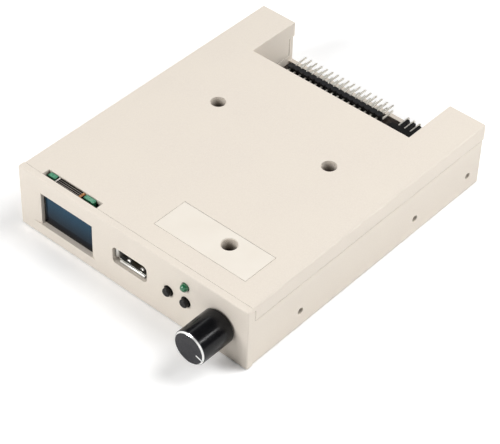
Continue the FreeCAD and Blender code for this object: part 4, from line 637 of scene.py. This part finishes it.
def make_flex_tail():
    """The folded tail, with a white marking beside it on the left and amber tape on the right."""
    low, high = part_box("display_flex")
    film = 0.16 * MM
    inset = 0.08 * MM
    gap = 0.04 * MM
    marking_reach = 0.5 * MM
    tape_reach = 1.0 * MM
    tail = swept_film("display_flex_tail", fold_line(0, 0.12 * MM), low.x, high.x, film,
                      finishes["flex_film"])
    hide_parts("display_flex")
    swept_film("flex_marking_left", fold_line(inset, 0), low.x - marking_reach, low.x - gap,
               film, finishes["white_ink"])
    swept_film("flex_tape_right", fold_line(inset, 0.1 * MM), high.x + gap,
               high.x + tape_reach, film, finishes["amber_tape"])


def make_usb_mouth():
    """The socket's four flared lips, parted at its corners, on a short collar before its shell."""
    low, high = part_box("usb_shell")
    front = low.y
    middle_x = (low.x + high.x) / 2
    middle_z = (high.z + BOARD_TOP) / 2
    half_width = SOCKET_WIDTH / 2 - SOCKET_WALL / 2
    half_height = (high.z - BOARD_TOP) / 2 - SOCKET_WALL / 2
    collar = 0.2 * MM
    roll = 0.42 * MM
    roll_steps = 6
    corner = 0.75 * MM
    trim = 0.25 * MM
    side_flare, upper_flare, lower_flare = 0.95 * MM, 0.4 * MM, 0.72 * MM
    # How far each row of a lip stands before the shell, and its share of the flare
    turns = [math.pi / 2 * i / roll_steps for i in range(roll_steps + 1)]
    profile = [(0, 0)] + [(collar + roll * math.sin(turn), 1 - math.cos(turn)) for turn in turns]
    # Which way each lip leans, how far it is from the middle and how far it reaches, its flare
    sides = (
        ((1, 0), half_width, half_height, side_flare),
        ((-1, 0), half_width, half_height, side_flare),
        ((0, 1), half_height, half_width, upper_flare),
        ((0, -1), half_height, half_width, lower_flare),
    )
    form = bmesh.new()
    for (out_x, out_z), away, along, flare in sides:
        rows = []
        for ahead, share in profile:
            out = away + flare * share
            ends = []
            for side in (-1, 1):
                slide = side * (along - corner - trim * share)
                x = middle_x + out_x * out + out_z * slide
                z = middle_z + out_z * out + out_x * slide
                ends.append(form.verts.new((x, front - ahead, z)))
            rows.append(ends)
        for (a, b), (c, d) in zip(rows, rows[1:]):
            form.faces.new((a, b, d, c))
    bmesh.ops.recalc_face_normals(form, faces=form.faces)
    mouth = finished_piece(form, "usb_socket_lips", finishes["tinned_steel"])
    thicken(mouth, 0.2 * MM, 0)
    soft = mouth.modifiers.new("rounded edges", "BEVEL")
    soft.width = 0.06 * MM
    soft.segments = 2
    soft.limit_method = "ANGLE"
    soft.angle_limit = EDGE_ANGLE


def make_usb_springs():
    """The curled front ends of the two spring fingers in the socket's floor."""
    low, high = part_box("usb_shell")
    front = low.y
    middle_x = (low.x + high.x) / 2
    floor = BOARD_TOP + SOCKET_WALL
    pitch = 6.0 * MM
    width = 1.5 * MM
    # Places along a finger, in mm behind the socket's front and above its floor
    curl = (
        (0.85, 0.04), (1.0, 0.3), (1.3, 0.56), (1.9, 0.66), (2.8, 0.6), (4.6, 0.2), (5.6, 0.04))
    form = bmesh.new()
    for side in (-1, 1):
        left = middle_x + side * pitch / 2 - width / 2
        sweep(form, [(left, front + y * MM, floor + z * MM) for y, z in curl], width)
    bmesh.ops.recalc_face_normals(form, faces=form.faces)
    springs = finished_piece(form, "usb_spring_fingers", finishes["tinned_steel"])
    thicken(springs, 0.12 * MM, 0)


def make_solder_joints():
    """A small concave cone of solder round each lead that comes through the board in the bay."""
    # Radii of a joint and their heights above the board, in mm
    profile = ((0.86, 0.0), (0.62, 0.1), (0.5, 0.3), (0.46, 0.55))
    # The box of a header's pins, its columns and rows, and the width of a pin
    headers = (
        (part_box("floppy_header_pins"), 17, 2, 0.64 * MM),
        (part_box("power_header_pins"), 4, 1, 0.8 * MM),
    )
    form = bmesh.new()
    for (low, _), columns, rows, pin in headers:
        for spot in range(columns * rows):
            column, row = divmod(spot, rows)
            x = low.x + pin / 2 + PIN_PITCH * column
            y = low.y + pin / 2 + PIN_PITCH * row
            line = [form.verts.new((x + r * MM, y, BOARD_TOP + z * MM)) for r, z in profile]
            edges = [form.edges.new(pair) for pair in zip(line, line[1:])]
            bmesh.ops.spin(form, geom=line + edges, cent=(x, y, 0), axis=(0, 0, 1),
                           angle=2 * math.pi, steps=12, use_merge=True)
    bmesh.ops.recalc_face_normals(form, faces=form.faces)
    joints = finished_piece(form, "bay_solder_joints", finishes["solder"])


# Studio
def make_floor():
    """Seamless white paper, a hair under the case so that the two don't share a plane."""
    finish, tree = blank("white_paper_floor")
    place = add(tree, "TexCoord")["Object"]
    fibre = add(tree, "TexNoise", {"Vector": place, "Scale": 1 / (1.5 * MM)})[0]
    colour = add(tree, "Mix", {
        FACTOR: fibre, FROM: tone("#F4F4F3"), TO: tone("#F6F6F6")}, data_type="RGBA")[MIXED]
    seen = add(tree, "LightPath")["Is Camera Ray"]
    shown = add(tree, "Mix", {
        FACTOR: seen, FROM: colour, TO: FLOOR_WHITE}, data_type="RGBA")[MIXED]
    paper = add(tree, "BsdfDiffuse", {"Color": shown})[0]
    glow = add(tree, "Emission", {"Color": tone("#FFFFFF"), "Strength": 1.0})[0]
    lift = add(tree, "Math", {0: seen, 1: FLOOR_GLOW}, operation="MULTIPLY")[0]
    mixed = add(tree, "MixShader", {"Fac": lift, 1: paper, 2: glow})[0]
    add(tree, "OutputMaterial", {"Surface": mixed})
    form = bmesh.new()
    below = Matrix.Translation((0, 0, -0.03 * MM))
    bmesh.ops.create_grid(form, x_segments=1, y_segments=1, size=2.5, matrix=below)
    mesh = bpy.data.meshes.new("studio_floor")
    form.to_mesh(mesh)
    form.free()
    mesh.materials.append(finish)
    floor = bpy.data.objects.new("studio_floor", mesh)
    bpy.context.scene.collection.objects.link(floor)


def make_world():
    """A white room that the camera sees as plain white. Polished pieces mirror it bright in front
    and low down, and dark above and behind. It doesn't light the matt ones: the lamps do."""
    world = bpy.data.worlds.new("white_room")
    bpy.context.scene.world = world
    world.use_nodes = True
    tree = world.node_tree
    tree.nodes.clear()
    direction = add(tree, "TexCoord")["Generated"]
    parts = add(tree, "SeparateXYZ", {"Vector": direction})
    ahead = add(tree, "MapRange", {"Value": parts["Y"], "From Min": 0.2, "From Max": -0.3})[0]
    beneath = add(tree, "MapRange", {
        "Value": parts["Z"], "From Min": 0.8, "From Max": 0.25})[0]
    room = add(tree, "Math", {0: ahead, 1: beneath}, operation="MULTIPLY")[0]
    mirrored = add(tree, "MapRange", {
        "Value": room, "To Min": ROOM_DARK, "To Max": ROOM_BRIGHT})[0]
    rays = add(tree, "LightPath")
    to_gloss = add(tree, "Math", {
        0: rays["Is Glossy Ray"], 1: mirrored}, operation="MULTIPLY")[0]
    strength = add(tree, "Mix", {
        FACTOR: rays["Is Camera Ray"], FROM_NUMBER: to_gloss, TO_NUMBER: 1.0})[0]
    sky = add(tree, "Background", {"Color": tone("#FFFFFF"), "Strength": strength})[0]
    add(tree, "OutputWorld", {"Surface": sky})


def make_lamp(name, place, width, length, power, mirrored):
    """A soft lamp aimed at the object, with its length running to the rear."""
    lamp = bpy.data.lights.new(name, "AREA")
    lamp.shape = "ELLIPSE"
    lamp.size = width
    lamp.size_y = length
    lamp.energy = power
    away = Vector(place).normalized()
    rearward = (Vector((0, 1, 0)) - away * away.y).normalized()
    across = rearward.cross(away)
    holder = bpy.data.objects.new(name, lamp)
    holder.location = place
    holder.rotation_mode = "QUATERNION"
    holder.rotation_quaternion = Matrix((across, rearward, away)).transposed().to_quaternion()
    holder.visible_glossy = mirrored
    bpy.context.scene.collection.objects.link(holder)


make_camera()
make_world()
make_floor()
for lamp in LAMPS:
    make_lamp(*lamp)
dress_solids()
soften_solids()
make_flex_tail()
make_usb_mouth()
make_usb_springs()
make_solder_joints()

view = bpy.context.scene.view_settings
view.view_transform = "Standard"
